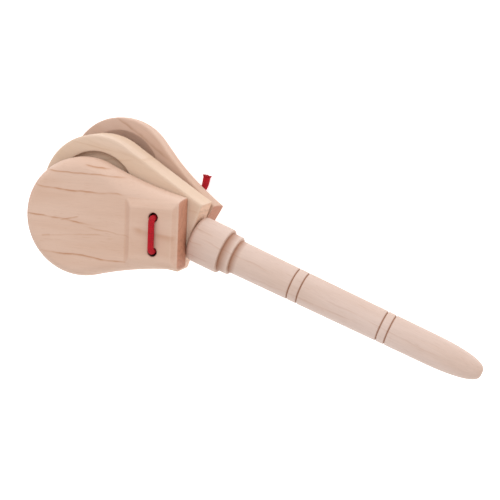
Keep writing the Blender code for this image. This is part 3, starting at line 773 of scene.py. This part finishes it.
@dataclass
class Shell(WoodPiece):
    """A clapper: rounded over outside, dished inside, with a chamfered pad round its cord holes."""

    outline: PaddleOutline = PaddleOutline(52.6 * MM, 17.2 * MM, 190.0 * MM)
    rim_height: float = 4.6 * MM
    rim_ease: float = 0.5 * MM
    cup_thickness: float = 12.6 * MM
    cup_round: float = 5.6 * MM
    round_fade: float = 9.0 * MM
    pad_length: float = 26.5 * MM
    pad_half: float = 16.0 * MM
    pad_top: float = 14.8 * MM
    pad_chamfer: float = 3.2 * MM
    pad_drop: float = 1.9 * MM
    pad_end_chamfer: float = 2.5 * MM
    pad_setback: float = 0.5 * MM
    hollow_radius: float = 23.2 * MM
    hollow_depth: float = 7.6 * MM

    def rounding(self, x: float, y: float) -> float:
        """How far in the outside rounds over at a point of the edge."""
        beside_pad = max(abs(y) - self.pad_half, 0.0) + 0.5 * MM
        if x > -self.pad_length:
            return beside_pad
        fade = min((-self.pad_length - x) / self.round_fade, 1.0)
        return beside_pad + (self.cup_round - beside_pad) * fade

    def blank(self) -> bpy.types.Object:
        """The outline drawn in as it rises."""
        points = self.outline.points()
        normals = inward_normals(points)
        levels = [(0.0, 0.0, self.rim_ease), (0.0, self.rim_ease, 0.0)]
        for index in range(15):
            angle = math.pi / 2.0 * index / 14
            height = self.rim_height + (self.cup_thickness - self.rim_height) * math.sin(angle)
            levels.append((1.0 - math.cos(angle), height, 0.0))
        loops = []
        for share, height, margin in levels:
            rows = []
            for (x, y), n in zip(points, normals):
                inset = share * self.rounding(x, y) + margin
                rows.append((x + n.x * inset, y + n.y * inset, height))
            loops.append(rows)
        return lofted("shell_blank", loops)

    def pad(self) -> bpy.types.Object:
        """The square pad with chamfered edges over the neck."""
        loops = []
        for height, share in ((self.cup_thickness - 2.0 * MM, 0.0), (self.pad_top - self.pad_drop, 0.0),
                              (self.pad_top, 1.0)):
            inset = share * self.pad_end_chamfer
            inner, outer = -self.pad_length + inset, -self.pad_setback - inset
            side = self.pad_half - share * self.pad_chamfer
            loops.append([(outer, side, height), (inner, side, height), (inner, -side, height),
                          (outer, -side, height)])
        return lofted("neck_pad", loops)

    def build(self) -> bpy.types.Object:
        """Cut, sand and dress the shell.

        Returns:
            The finished shell.
        """
        blank = self.blank()
        self.take_away(blank, self.pad(), "UNION")
        ball = (self.hollow_radius ** 2 + self.hollow_depth ** 2) / (2.0 * self.hollow_depth)
        half_angle = math.asin(self.hollow_radius / ball)
        dish = arc((0.0, ball - self.hollow_depth), ball, half_angle - math.pi / 2.0, -math.pi / 2.0, 24)
        profile = [(0.0, MM), (self.hollow_radius, MM)] + dish[:-1] + [(0.0, -self.hollow_depth)]
        hollow = turned_cutter("hollow", profile, 132)
        hollow.rotation_euler = (math.pi, 0.0, 0.011)
        hollow.location = (*self.outline.middle(), 0.0)
        self.take_away(blank, hollow)
        for place in self.bore_places:
            self.take_away(blank, self.hole("cord_drill", place, self.pad_top, self.pad_top / 2.0))
        piece = self.sand(blank)
        self.dress(piece)
        return piece


# ---------------------------------------------------------------- turned handle

def dressed(w: Wiring, geometry: Value, finish: Value) -> Socket:
    """Real geometry with its finish on."""
    solid = w.node("GeometryNodeRealizeInstances", {"Geometry": geometry})
    return w.node("GeometryNodeSetMaterial", {"Geometry": solid.outputs[0], "Material": finish}).outputs[0]


def lathe_tree() -> bpy.types.NodeTree:
    """Geometry nodes that turn a profile mesh of (along, radius) points about the X axis."""
    tree, w, source, result = open_group(
        "turned_work",
        [("Geometry", "NodeSocketGeometry", None), ("Turn Steps", "NodeSocketInt", 96),
         ("Finish", "NodeSocketMaterial", None)],
        [("Geometry", "NodeSocketGeometry")], "GeometryNodeTree")
    get = source.outputs
    profile = get["Geometry"]
    size = w.node("GeometryNodeAttributeDomainSize", {"Geometry": profile}, component="MESH")
    rows = size.outputs["Point Count"]
    columns = w.plus(get["Turn Steps"], 1.0)
    grid = w.node("GeometryNodeMeshGrid", {"Size X": 1.0, "Size Y": 1.0, "Vertices X": rows,
                                           "Vertices Y": columns})
    place = w.node("ShaderNodeSeparateXYZ", {0: w.node("GeometryNodeInputPosition").outputs[0]})
    row = w.math("ROUND", w.times(w.plus(place.outputs[0], 0.5), w.minus(rows, 1.0)))
    turn = w.times(w.plus(place.outputs[1], 0.5), TURN)
    sample = w.node("GeometryNodeSampleIndex", data_type="FLOAT_VECTOR", domain="POINT")
    w.put(sample.inputs["Geometry"], profile)
    w.put(sample.inputs["Value"], w.node("GeometryNodeInputPosition").outputs[0])
    w.put(sample.inputs["Index"], row)
    station = w.node("ShaderNodeSeparateXYZ", {0: sample.outputs[0]})
    radius = station.outputs[1]
    spot = w.node("ShaderNodeCombineXYZ", {0: station.outputs[0], 1: w.times(radius, w.math("COSINE", turn)),
                                           2: w.times(radius, w.math("SINE", turn))})
    moved = w.node("GeometryNodeSetPosition", {"Geometry": grid.outputs["Mesh"], "Position": spot.outputs[0]})
    merged = w.node("GeometryNodeMergeByDistance", {"Geometry": moved.outputs[0], "Distance": 0.002 * MM})
    w.put(result.inputs[0], dressed(w, merged.outputs[0], get["Finish"]))
    return tree


def run_tree(made: bpy.types.Object, tree: bpy.types.NodeTree, values: dict[str, object],
             name: str) -> bpy.types.Object:
    """Run a geometry tree on an object and keep the plain mesh.

    Args:
        made: the object that feeds the tree; it is removed.
        tree: the geometry tree.
        values: the tree's inputs by name.
        name: the finished object's name.

    Returns:
        A plain mesh object.
    """
    modifier = made.modifiers.new(tree.name, "NODES")
    modifier.node_group = tree
    sockets = {item.name: item.identifier for item in tree.interface.items_tree if item.in_out == "INPUT"}
    for label, value in values.items():
        modifier[sockets[label]] = value
    return applied(made, name)


@dataclass
class Handle:
    """The turned handle: a collar, one step, a tapered grip with ring grooves, and a round nose."""

    node: str = "handle"
    body: str = "board"
    slot: str = "handle_wood"
    finish: Finish = Finish.HANDLE
    tenon_radius: float = 5.0 * MM
    tenon_length: float = 8.5 * MM
    tenon_chamfer: float = 0.5 * MM
    collar_radius: float = 11.5 * MM
    collar_length: float = 17.4 * MM
    collar_round: float = 2.9 * MM
    step_ease: float = 0.8 * MM
    step_crease: float = 0.3 * MM
    step_radius: float = 9.85 * MM
    step_end: float = 23.0 * MM
    grip_radius: float = 8.4 * MM
    grip_end_radius: float = 7.45 * MM
    taper_end: float = 126.0 * MM
    tip: float = 153.2 * MM
    nose_fullness: float = 0.64
    grooves: tuple[float, ...] = (54.9 * MM, 60.0 * MM, 102.0 * MM, 106.3 * MM)
    groove_half: float = 0.55 * MM
    groove_depth: float = 0.6 * MM
    turn_steps: int = 96

    def grip(self, along: float) -> float:
        """The grip's radius at a place along it."""
        share = (self.taper_end - along) / (self.taper_end - self.step_end)
        return self.grip_end_radius + (self.grip_radius - self.grip_end_radius) * share

    def profile(self) -> list[Point]:
        """Points of (along, radius) from the tip to the end of the tenon."""
        points = []
        for index in range(41):
            angle = math.pi / 2.0 * index / 40
            radius = self.grip_end_radius * math.sin(angle) ** self.nose_fullness
            points.append((self.taper_end + (self.tip - self.taper_end) * math.cos(angle), radius))
        stations = sorted(self.grooves, reverse=True)
        last = self.taper_end
        for place in stations + [self.step_end + self.step_crease]:
            steps = max(int((last - place) / (2.5 * MM)), 1)
            spans = [last + (place + 1.6 * self.groove_half - last) * k / steps for k in range(1, steps)]
            points += [(along, self.grip(along)) for along in spans]
            if place in self.grooves:
                points += self.groove(place)
            last = place - self.groove_half
        points.append((self.step_end + self.step_crease, self.grip_radius))
        edge = (self.step_end - self.step_ease, self.step_radius - self.step_ease)
        points += arc(edge, self.step_ease, 0.0, math.pi / 2.0, 8)
        points.append((self.collar_length + self.step_crease, self.step_radius))
        edge = (self.collar_length - self.step_ease, self.collar_radius - self.step_ease)
        points += arc(edge, self.step_ease, 0.0, math.pi / 2.0, 8)
        shoulder = (FIT_GAP + self.collar_round, self.collar_radius - self.collar_round)
        points += arc(shoulder, self.collar_round, math.pi / 2.0, math.pi, 14)
        points += [(FIT_GAP, self.tenon_radius), (self.tenon_chamfer - self.tenon_length, self.tenon_radius),
                   (-self.tenon_length, self.tenon_radius - self.tenon_chamfer), (-self.tenon_length, 0.0)]
        return points

    def groove(self, place: float) -> list[Point]:
        """A narrow groove with a round bottom and slightly broken edges."""
        points = []
        for index in range(13):
            share = index / 12.0 * 2.0 - 1.0
            along = place - share * 1.3 * self.groove_half
            depth = self.groove_depth * math.exp(-(share * 2.1) ** 2)
            points.append((along, self.grip(along) - depth))
        return points

    def build(self, grain_frame: Matrix) -> bpy.types.Object:
        """Turn and dress the handle.

        Args:
            grain_frame: the handle's frame, X along its axis.

        Returns:
            The finished handle.
        """
        mesh = bpy.data.meshes.new("handle_profile")
        points = self.profile()
        mesh.from_pydata([(along, radius, 0.0) for along, radius in points],
                         [(index, index + 1) for index in range(len(points) - 1)], [])
        material = self.finish.value.make(grain_frame)
        blank = mesh_object("handle_profile", mesh)
        values = {"Turn Steps": self.turn_steps, "Finish": material}
        piece = run_tree(blank, lathe_tree(), values, "turned_handle")
        bm = bmesh.new()
        bm.from_mesh(piece.data)
        bmesh.ops.recalc_face_normals(bm, faces=bm.faces)
        bm.to_mesh(piece.data)
        bm.free()
        self.note_surface(piece.data)
        piece.data.shade_smooth()
        piece.data.set_sharp_from_angle(angle=math.radians(50.0))
        piece.data.transform(grain_frame)
        hand_over(piece, self.node, self.body)
        return piece

    def note_surface(self, mesh: bpy.types.Mesh) -> None:
        """Store what the finish needs: painted shade in the grooves and at the steps' creases, and end-grain
        colour with painted shade at the nose.
        """
        place, normal = surface_of(mesh)
        count = len(place)
        reach = np.hypot(place[:, 1], place[:, 2])
        # Painted shade: darker towards the bottom of each groove and at the steps' creases.
        crease = np.zeros(count)
        for groove in self.grooves:
            low = self.grip(groove) - reach
            near = np.abs(place[:, 0] - groove) < 1.4 * self.groove_half
            worn = np.clip(low / self.groove_depth, 0.0, 1.0) ** 1.4
            crease = np.where(near, np.maximum(crease, worn), crease)
        for along, radius in ((self.step_end, self.grip_radius), (self.collar_length, self.step_radius)):
            off = np.hypot(place[:, 0] - along - self.step_crease, reach - radius)
            crease = np.maximum(crease, np.clip(1.0 - off / (0.55 * MM), 0.0, 1.0))
        # End-grain colour and painted shade on faces along the axis, the nose most.
        store(mesh, "end_grain", np.abs(normal[:, 0]) ** 3)
        store(mesh, "crease", crease)
        store(mesh, "edge_wear", np.zeros(count))
        store(mesh, "bore", np.zeros(count))


# ---------------------------------------------------------------- cord

def braid_tree() -> bpy.types.NodeTree:
    """Geometry nodes that braid yarns round a path, with a core and loose filaments at a cut end."""
    tree, w, source, result = open_group(
        "braided_cord",
        [("Geometry", "NodeSocketGeometry", None), ("Yarns", "NodeSocketInt", 16),
         ("Turns", "NodeSocketFloat", 4.0), ("Steps", "NodeSocketInt", 160),
         ("Cord Radius", "NodeSocketFloat", 1.6 * MM),
         ("Yarn Radius", "NodeSocketFloat", 0.34 * MM), ("Start Squeeze", "NodeSocketFloat", 0.0),
         ("End Flare", "NodeSocketFloat", 0.0), ("Filaments", "NodeSocketInt", 0),
         ("Filament Length", "NodeSocketFloat", 1.0 * MM), ("Finish", "NodeSocketMaterial", None)],
        [("Geometry", "NodeSocketGeometry")], "GeometryNodeTree")
    get = source.outputs
    path = get["Geometry"]
    index = w.node("GeometryNodeInputIndex").outputs[0]

    def strands(count: Value, steps: Value) -> tuple[Socket, Socket, Socket]:
        """Straight strands to lay along the path: geometry, the share along and the strand's number."""
        line = w.node("GeometryNodeCurvePrimitiveLine", {"End": (0.0, 0.0, MM)})
        even = w.node("GeometryNodeResampleCurve", {"Curve": line.outputs[0], "Count": steps})
        dots = w.node("GeometryNodeMeshLine", {"Count": count, "Offset": (MM, 0.0, 0.0)})
        copies = w.node("GeometryNodeInstanceOnPoints", {"Points": dots.outputs[0],
                                                         "Instance": even.outputs[0]})
        real = w.node("GeometryNodeRealizeInstances", {"Geometry": copies.outputs[0]})
        share = w.node("GeometryNodeSplineParameter").outputs["Factor"]
        number = w.node("GeometryNodeCurveOfPoint", {"Point Index": index}).outputs["Curve Index"]
        return real.outputs[0], share, number

    def along_path(share: Value) -> tuple[Socket, Socket, Socket, Socket]:
        """Place, direction and the two sideways directions at a share of the path."""
        spot = w.node("GeometryNodeSampleCurve", mode="FACTOR", use_all_curves=True)
        w.put(spot.inputs["Curves"], path)
        w.put(spot.inputs["Factor"], share)
        place, ahead, side = spot.outputs["Position"], spot.outputs["Tangent"], spot.outputs["Normal"]
        return place, ahead, side, w.vector("CROSS_PRODUCT", ahead, side)

    def out_from(side: Value, other: Value, angle: Value, reach: Value) -> Socket:
        """A step outwards from the path at an angle round it."""
        first = w.scaled(side, w.times(w.math("COSINE", angle), reach))
        second = w.scaled(other, w.times(w.math("SINE", angle), reach))
        return w.vector("ADD", first, second)

    def width_at(share: Value) -> Socket:
        """The cord's width at a share of the path, 1 where it is neither squeezed nor flared."""
        squeeze = w.times(w.ramp(share, 0.45, 0.0), get["Start Squeeze"])
        flare = w.times(w.ramp(share, 0.62, 1.0), get["End Flare"])
        return w.plus(w.minus(1.0, squeeze), flare)

    def ring_of(sides: int, radius: Value) -> Socket:
        """A ring to sweep along a curve."""
        return w.node("GeometryNodeCurvePrimitiveCircle", {"Resolution": sides, "Radius": radius}).outputs[0]

    def swept(curve: Value, ring: Value) -> Socket:
        """A ring swept along a curve, with its ends closed."""
        values = {"Curve": curve, "Profile Curve": ring, "Fill Caps": True}
        return w.node("GeometryNodeCurveToMesh", values).outputs[0]

    def carrying(geometry: Value, label: str, value: Value) -> bpy.types.Node:
        """Geometry whose points each carry a number, taken before it is swept."""
        made = w.node("GeometryNodeCaptureAttribute", domain="POINT")
        made.capture_items.new("FLOAT", label)
        w.put(made.inputs["Geometry"], geometry)
        w.put(made.inputs[label], value)
        return made

    def named(geometry: Value, name: str, value: Value) -> Socket:
        """Geometry with a number under a name that the finish can read."""
        values = {"Geometry": geometry, "Name": name, "Value": value}
        return w.node("GeometryNodeStoreNamedAttribute", values, data_type="FLOAT").outputs[0]

    curves, share, number = strands(get["Yarns"], get["Steps"])
    hand = w.minus(w.times(w.math("MODULO", number, 2.0), 2.0), 1.0)
    half = w.over(get["Yarns"], 2.0)
    phase = w.times(w.over(w.math("FLOOR", w.over(number, 2.0)), half), TURN)
    sweep = w.times(w.times(share, get["Turns"]), TURN)
    angle = w.plus(w.times(sweep, hand), phase)
    weave = w.times(w.math("COSINE", w.times(sweep, half)), hand)
    bed = w.minus(get["Cord Radius"], w.times(get["Yarn Radius"], 1.42))
    reach = w.plus(bed, w.times(weave, w.times(get["Yarn Radius"], 0.40)))
    reach = w.times(reach, width_at(share))
    place, ahead, side, other = along_path(share)
    spot = w.vector("ADD", place, out_from(side, other, angle, reach))
    yarns = w.node("GeometryNodeSetPosition", {"Geometry": curves, "Position": spot})
    travel = w.node("GeometryNodeSplineParameter").outputs
    laid = carrying(yarns.outputs[0], "Length", w.over(travel["Length"], MM))
    ring = carrying(ring_of(8, get["Yarn Radius"]), "Turn", travel["Factor"])
    skin = named(swept(laid.outputs[0], ring.outputs[0]), "yarn_length", laid.outputs["Length"])
    skin = named(skin, "yarn_turn", ring.outputs["Turn"])
    core_reach = w.minus(get["Cord Radius"], w.times(get["Yarn Radius"], 1.5))
    thin_path = w.node("GeometryNodeSetCurveRadius", {"Curve": path, "Radius": width_at(travel["Factor"])})
    core = swept(thin_path.outputs[0], ring_of(16, core_reach))

    hairs, hair_share, hair = strands(get["Filaments"], 4)
    turn = w.times(hair, GOLDEN_TURN)
    spread = w.math("SQRT", w.over(w.plus(hair, 0.5), w.math("MAXIMUM", get["Filaments"], 1.0)))
    end_width = w.times(get["Cord Radius"], w.plus(get["End Flare"], 0.92))
    place, ahead, side, other = along_path(1.0)
    root = w.vector("ADD", place, out_from(side, other, turn, w.times(spread, end_width)))
    uneven = w.node("FunctionNodeRandomValue", {"Min": 0.25, "Max": 1.0, "ID": hair, "Seed": 7},
                    data_type="FLOAT")
    run = w.times(w.times(hair_share, get["Filament Length"]), uneven.outputs[1])
    lean = w.times(w.times(spread, run), 0.55)
    back = w.scaled(ahead, w.minus(run, 0.35 * MM))
    spot = w.vector("ADD", w.vector("ADD", root, back), out_from(side, other, turn, lean))
    hairs_laid = w.node("GeometryNodeSetPosition", {"Geometry": hairs, "Position": spot})
    tuft = swept(hairs_laid.outputs[0], ring_of(5, 0.10 * MM))
    joined = w.node("GeometryNodeJoinGeometry")
    for part in (skin, core, tuft):
        w.tree.links.new(part, joined.inputs[0])
    smooth = w.node("GeometryNodeSetShadeSmooth", {"Geometry": joined.outputs[0]})
    w.put(result.inputs[0], dressed(w, smooth.outputs[0], get["Finish"]))
    return tree


@dataclass
class CordRun:
    """One length of the cord, braided round its path."""

    name: str
    node: str
    body: str
    points: list[Vector]
    closed: bool = False
    radius: float = 1.6 * MM
    squeeze: float = 0.0
    flare: float = 0.0
    filaments: int = 0
    lay: float = 7.5 * MM
    starts_on: str = ""

    def build(self, tree: bpy.types.NodeTree, material: bpy.types.Material) -> bpy.types.Object:
        """Braid the run.

        Args:
            tree: the braiding tree.
            material: the cord's finish.

        Returns:
            The finished run.
        """
        curve = bpy.data.curves.new(self.name, "CURVE")
        curve.dimensions = "3D"
        spline = curve.splines.new("POLY")
        spline.points.add(len(self.points) - 1)
        for target, place in zip(spline.points, self.points):
            target.co = (*place, 1.0)
        spline.use_cyclic_u = self.closed
        length = sum((b - a).length for a, b in zip(self.points, self.points[1:]))
        made = bpy.data.objects.new(self.name, curve)
        bpy.context.scene.collection.objects.link(made)
        turns = max(round(length / self.lay * 2.0) / 2.0, 0.5)
        steps = max(int(turns * 52), 16)
        values = {"Yarns": 16, "Turns": turns, "Steps": steps, "Cord Radius": self.radius,
                  "Yarn Radius": 0.215 * self.radius, "Start Squeeze": self.squeeze, "End Flare": self.flare,
                  "Filaments": self.filaments, "Filament Length": 1.0 * MM, "Finish": material}
        piece = run_tree(made, tree, values, self.name)
        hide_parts(self.node)
        if self.starts_on:
            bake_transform(piece)
        else:
            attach(piece, self.body)
        LOG.info("%s: %d faces", piece.name, len(piece.data.polygons))
        return piece


@dataclass
class Cord:
    """The one cord: over the front pad, through all three boards, and tied behind the back shell."""

    front: Matrix
    back: Matrix
    front_swivel: Matrix
    back_swivel: Matrix
    board: Matrix
    radius: float = 1.6 * MM
    pivot: float = BOARD_HOLE
    hole_spread: float = HOLE_SPREAD
    hole_to_end: float = HOLE_TO_END
    strand_radius: float = 1.45 * MM
    strand_foot: float = 5.75 * MM
    strand_top: float = 4.2 * MM
    leg_foot: float = 0.3 * MM
    leg_inset: float = 0.35 * MM
    bend_radius: float = 2.1 * MM
    pad_top: float = 14.8 * MM
    board_half: float = 7.25 * MM
    knot_radius: float = 1.42 * MM
    knot_size: Place = (7.6 * MM, 6.4 * MM, 4.6 * MM)
    tail_height: float = 16.75 * MM
    long_tail: tuple[Point, ...] = ((-13.4, 0.9), (-16.4, 2.7), (-18.0, 0.4), (-17.6, -3.5), (-15.9, -10.5),
                                    (-15.6, -17.2), (-17.2, -22.3))
    short_tail: tuple[Point, ...] = ((-10.8, -0.9), (-8.0, -2.6), (-6.3, -0.6), (-5.8, 2.5), (-7.0, 6.6),
                                     (-8.8, 9.4))

    @property
    def spread(self) -> float:
        """Each leg's distance from the middle line."""
        return self.hole_spread - self.leg_inset

    @property
    def top(self) -> float:
        """Height of the cord's middle where it lies over a pad."""
        return self.pad_top + self.radius + FIT_GAP

    def leg(self, sign: float, steps: int = 14) -> list[Vector]:
        """Up out of a hole and over its edge, in a shell's frame."""
        points = [Vector((-self.hole_to_end, sign * self.spread, self.leg_foot + k * 2.0 * MM))
                  for k in range(7)]
        for across, height in arc((self.spread - self.bend_radius, self.top - self.bend_radius),
                                  self.bend_radius, 0.0, math.pi / 2.0, steps):
            points.append(Vector((-self.hole_to_end, sign * across, height)))
        return points

    def straight(self, start: Vector, end: Vector, steps: int = 6) -> list[Vector]:
        """Evenly spaced points between two places."""
        return [start.lerp(end, index / steps) for index in range(steps + 1)]

    def slanted(self, foot: Vector, top: Vector, steps: int = 18) -> list[Vector]:
        """From a hole in the board to one in a turned shell: upright at both ends, aslant between them."""
        points = []
        for index in range(steps + 1):
            share = index / steps
            ease = min(max((share - 0.15) / 0.6, 0.0), 1.0)
            level = foot.lerp(top, ease * ease * (3.0 - 2.0 * ease))
            points.append(Vector((level.x, level.y, foot.lerp(top, share).z)))
        return points

    def stitch(self) -> list[Vector]:
        """The run over the front pad, with a leg down each hole."""
        first, second = self.leg(1.0), self.leg(-1.0)
        across = self.straight(first[-1], second[-1], 10)[1:-1]
        return first + across + second[::-1]

    def tail(self, route: tuple[Point, ...], steps: int = 8) -> list[Vector]:
        """A smooth path through a cut tail's route, lying flat over the pad."""
        places = [Vector((x * MM, y * MM, self.tail_height)) for x, y in route]
        padded = [2.0 * places[0] - places[1]] + places + [2.0 * places[-1] - places[-2]]
        points = []
        for before, first, second, after in zip(padded, padded[1:], padded[2:], padded[3:]):
            for step in range(steps):
                part = step / steps
                straight = (second - before) * part
                bend = (2.0 * before - 5.0 * first + 4.0 * second - after) * part ** 2
                twist = (3.0 * first - before - 3.0 * second + after) * part ** 3
                points.append(first + 0.5 * (straight + bend + twist))
        points.append(places[-1])
        return points

    def knot(self, steps: int = 90) -> list[Vector]:
        """An overhand knot drawn up tight inside the knot's own size."""
        reach = [size / 2.0 - self.knot_radius for size in self.knot_size]
        middle = Vector((-self.hole_to_end, 0.0, self.pad_top + self.knot_size[2] / 2.0 + FIT_GAP))
        points = []
        for index in range(steps):
            turn = TURN * index / steps
            x = (math.sin(turn) + 2.0 * math.sin(2.0 * turn)) / 2.74
            y = (math.cos(turn) - 2.0 * math.cos(2.0 * turn)) / 3.0
            z = -math.sin(3.0 * turn)
            points.append(middle + Vector((x * reach[0], y * reach[1], z * reach[2])))
        return points

    def runs(self) -> list[CordRun]:
        """Every length of the cord, in place."""
        made = [CordRun("stitched_cord_front", "front_cord_stitch", "front_shell_body",
                        [self.front @ p for p in self.stitch()])]
        for side, sign in (("left", 1.0), ("right", -1.0)):
            y = sign * self.spread
            for shell, swivel, facing in (("front", self.front_swivel, 1.0),
                                          ("back", self.back_swivel, -1.0)):
                foot = self.board @ Vector((self.pivot, sign * self.hole_spread, facing * self.strand_foot))
                top = swivel @ Vector((0.0, facing * y, self.strand_top))
                made.append(CordRun(f"cord_strand_{shell}_{side}", f"{shell}_cord_strand_{side}",
                                    shell + "_cord", self.slanted(foot, top), radius=self.strand_radius,
                                    starts_on="board"))
            ends = (Vector((self.pivot, sign * self.hole_spread, -self.board_half)),
                    Vector((self.pivot, sign * self.hole_spread, self.board_half)))
            made.append(CordRun("cord_through_board_" + side, "board_cord_" + side, "board",
                                [self.board @ p for p in self.straight(*ends)]))
            leg = self.leg(-sign)
            inner = Vector((-self.hole_to_end, -sign * (self.knot_size[1] / 2.0 - 0.6 * MM), self.top))
            leg += self.straight(leg[-1], inner, 5)[1:]
            made.append(CordRun("cord_leg_back_" + side, "back_cord_leg_" + side, "back_shell_body",
                                [self.back @ p for p in leg]))
        made.append(CordRun("overhand_knot", "cord_knot", "back_shell_body",
                            [self.back @ p for p in self.knot()], True, self.knot_radius))
        for name, node, route in (("cut_tail_long", "cord_tail_long", self.long_tail),
                                  ("cut_tail_short", "cord_tail_short", self.short_tail)):
            made.append(CordRun(name, node, "back_shell_body", [self.back @ p for p in self.tail(route)],
                                squeeze=0.30, flare=0.30, filaments=210))
        return made

    def build(self) -> None:
        """Braid and dress the whole cord."""
        tree = braid_tree()
        material = Finish.CORD.value.make()
        for run in self.runs():
            run.build(tree, material)


# ---------------------------------------------------------------- placing

def joint(name: str) -> dict:
    """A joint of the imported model."""
    return next(item for item in frame["joints"] if item["name"] == name)


def shell_frame(side: str) -> Matrix:
    """A shell's own frame at rest: its inner face on z = 0, its neck end at x = 0.

    Args:
        side: front or back.

    Returns:
        The frame as a matrix.
    """
    clap = joint(side + "_clap")
    facing = Vector((0.0, 0.0, 1.0 if side == "front" else -1.0))
    across = Vector(clap["axis"]).normalized()
    along = across.cross(facing)
    opening = math.radians(-clap["range_deg"][0])
    first = math.cos(opening) * along - math.sin(opening) * facing
    up = math.sin(opening) * along + math.cos(opening) * facing
    turned = Matrix((first, across, up)).transposed().to_4x4()
    return Matrix.Translation(clap["pos_m"]) @ turned


def swivel_frame(side: str) -> Matrix:
    """The frame of the cord between a shell and the board: on the board's face, turned with the shell."""
    across = Vector(joint(side + "_clap")["axis"]).normalized()
    facing = Vector((0.0, 0.0, 1.0 if side == "front" else -1.0))
    turned = Matrix((across.cross(facing), across, facing)).transposed().to_4x4()
    return Matrix.Translation(joint(side + "_swivel")["pos_m"]) @ turned


def board_frame() -> Matrix:
    """The board's frame: its neck end on x = 0 and the handle's axis along X."""
    low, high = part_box("centre_board")
    handle_low, handle_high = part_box("handle")
    return Matrix.Translation((high.x, (handle_low.y + handle_high.y) / 2.0, (low.z + high.z) / 2.0))


# ---------------------------------------------------------------- studio

@dataclass(frozen=True)
class Studio:
    """A plain pale floor, soft light and the camera."""

    camera_place: Place = (0.13041, 0.16744, 0.57247)
    camera_target: Place = (-0.0064, 0.00709, 0.028)
    camera_roll: float = math.radians(-116.148)
    lens: float = 86.4
    light_target: Place = (-0.04, 0.0, 0.02)
    floor_size: float = 6.0
    floor_glow: float = 0.60
    surround: float = 0.78

    def floor(self) -> None:
        """A pale sweep under the instrument."""
        bm = bmesh.new()
        half = self.floor_size / 2.0
        corners = ((-half, -half), (half, -half), (half, half), (-half, half))
        bm.faces.new([bm.verts.new((x, y, 0.0)) for x, y in corners])
        floor = bmesh_object("studio_floor", bm)
        floor.location.z = -0.05 * MM
        material = bpy.data.materials.new("pale_floor")
        material.use_nodes = True
        shader = material.node_tree.nodes["Principled BSDF"]
        shader.inputs["Base Color"].default_value = (0.90, 0.90, 0.90, 1.0)
        shader.inputs["Roughness"].default_value = 0.9
        shader.inputs["Specular IOR Level"].default_value = 0.1
        shader.inputs["Emission Color"].default_value = (1.0, 1.0, 1.0, 1.0)
        shader.inputs["Emission Strength"].default_value = self.floor_glow
        floor.data.materials.append(material)

    def light(self, name: str, place: Place, size: float, power: float, colour: Colour) -> None:
        """One soft square light aimed at the instrument."""
        lamp = bpy.data.lights.new(name, "AREA")
        lamp.shape = "SQUARE"
        lamp.size = size
        lamp.energy = power
        lamp.color = colour
        made = bpy.data.objects.new(name, lamp)
        bpy.context.scene.collection.objects.link(made)
        made.location = place
        aim = Vector(self.light_target) - Vector(place)
        made.rotation_euler = aim.to_track_quat("-Z", "Y").to_euler()

    def world(self) -> None:
        """An even white surround."""
        world = bpy.data.worlds.new("white_surround")
        world.use_nodes = True
        shade = world.node_tree.nodes["Background"]
        shade.inputs["Color"].default_value = (1.0, 1.0, 1.0, 1.0)
        shade.inputs["Strength"].default_value = self.surround
        bpy.context.scene.world = world

    def camera(self) -> None:
        """The camera, from its place, target, roll and lens."""
        data = bpy.data.cameras.new("view")
        data.lens = self.lens
        data.sensor_width = 36.0
        data.clip_start = 0.01
        made = bpy.data.objects.new("view", data)
        bpy.context.scene.collection.objects.link(made)
        place, target = Vector(self.camera_place), Vector(self.camera_target)
        aim = (target - place).to_track_quat("-Z", "Y").to_matrix()
        made.rotation_euler = (aim @ Euler((0.0, 0.0, self.camera_roll)).to_matrix()).to_euler()
        made.location = place
        bpy.context.scene.camera = made

    def build(self) -> None:
        """Set the stage."""
        self.floor()
        self.world()
        self.light("key_softbox", (-0.45, 0.70, 0.70), 0.9, 3.0, (1.0, 0.985, 0.965))
        self.light("fill_softbox", (0.30, 0.10, 1.0), 1.1, 2.2, (1.0, 0.99, 0.98))
        self.camera()
        bpy.context.scene.view_settings.view_transform = "Standard"


def hole_pair(along: float) -> tuple[Point, Point]:
    """The two cord holes side by side at a place along a board."""
    return (along, HOLE_SPREAD), (along, -HOLE_SPREAD)


def main() -> None:
    """Build every piece in order."""
    logging.basicConfig(level=logging.INFO, format="%(name)s: %(message)s")
    Studio().build()
    board, front, back = board_frame(), shell_frame("front"), shell_frame("back")
    CentreBoard("centre_board", "board", "board_wood", Finish.BOARD, board,
                bore_places=hole_pair(BOARD_HOLE)).build()
    Handle().build(board)
    Shell("front_shell", "front_shell_body", "front_shell_wood", Finish.FRONT, front,
          bore_places=hole_pair(-HOLE_TO_END),
          outline=PaddleOutline(52.6 * MM, 17.2 * MM, 190.0 * MM, math.radians(4.3))).build()
    Shell("back_shell", "back_shell_body", "back_shell_wood", Finish.BACK, back,
          bore_places=hole_pair(-HOLE_TO_END)).build()
    Cord(front, back, swivel_frame("front"), swivel_frame("back"), board).build()


if __name__ == "__main__":
    main()
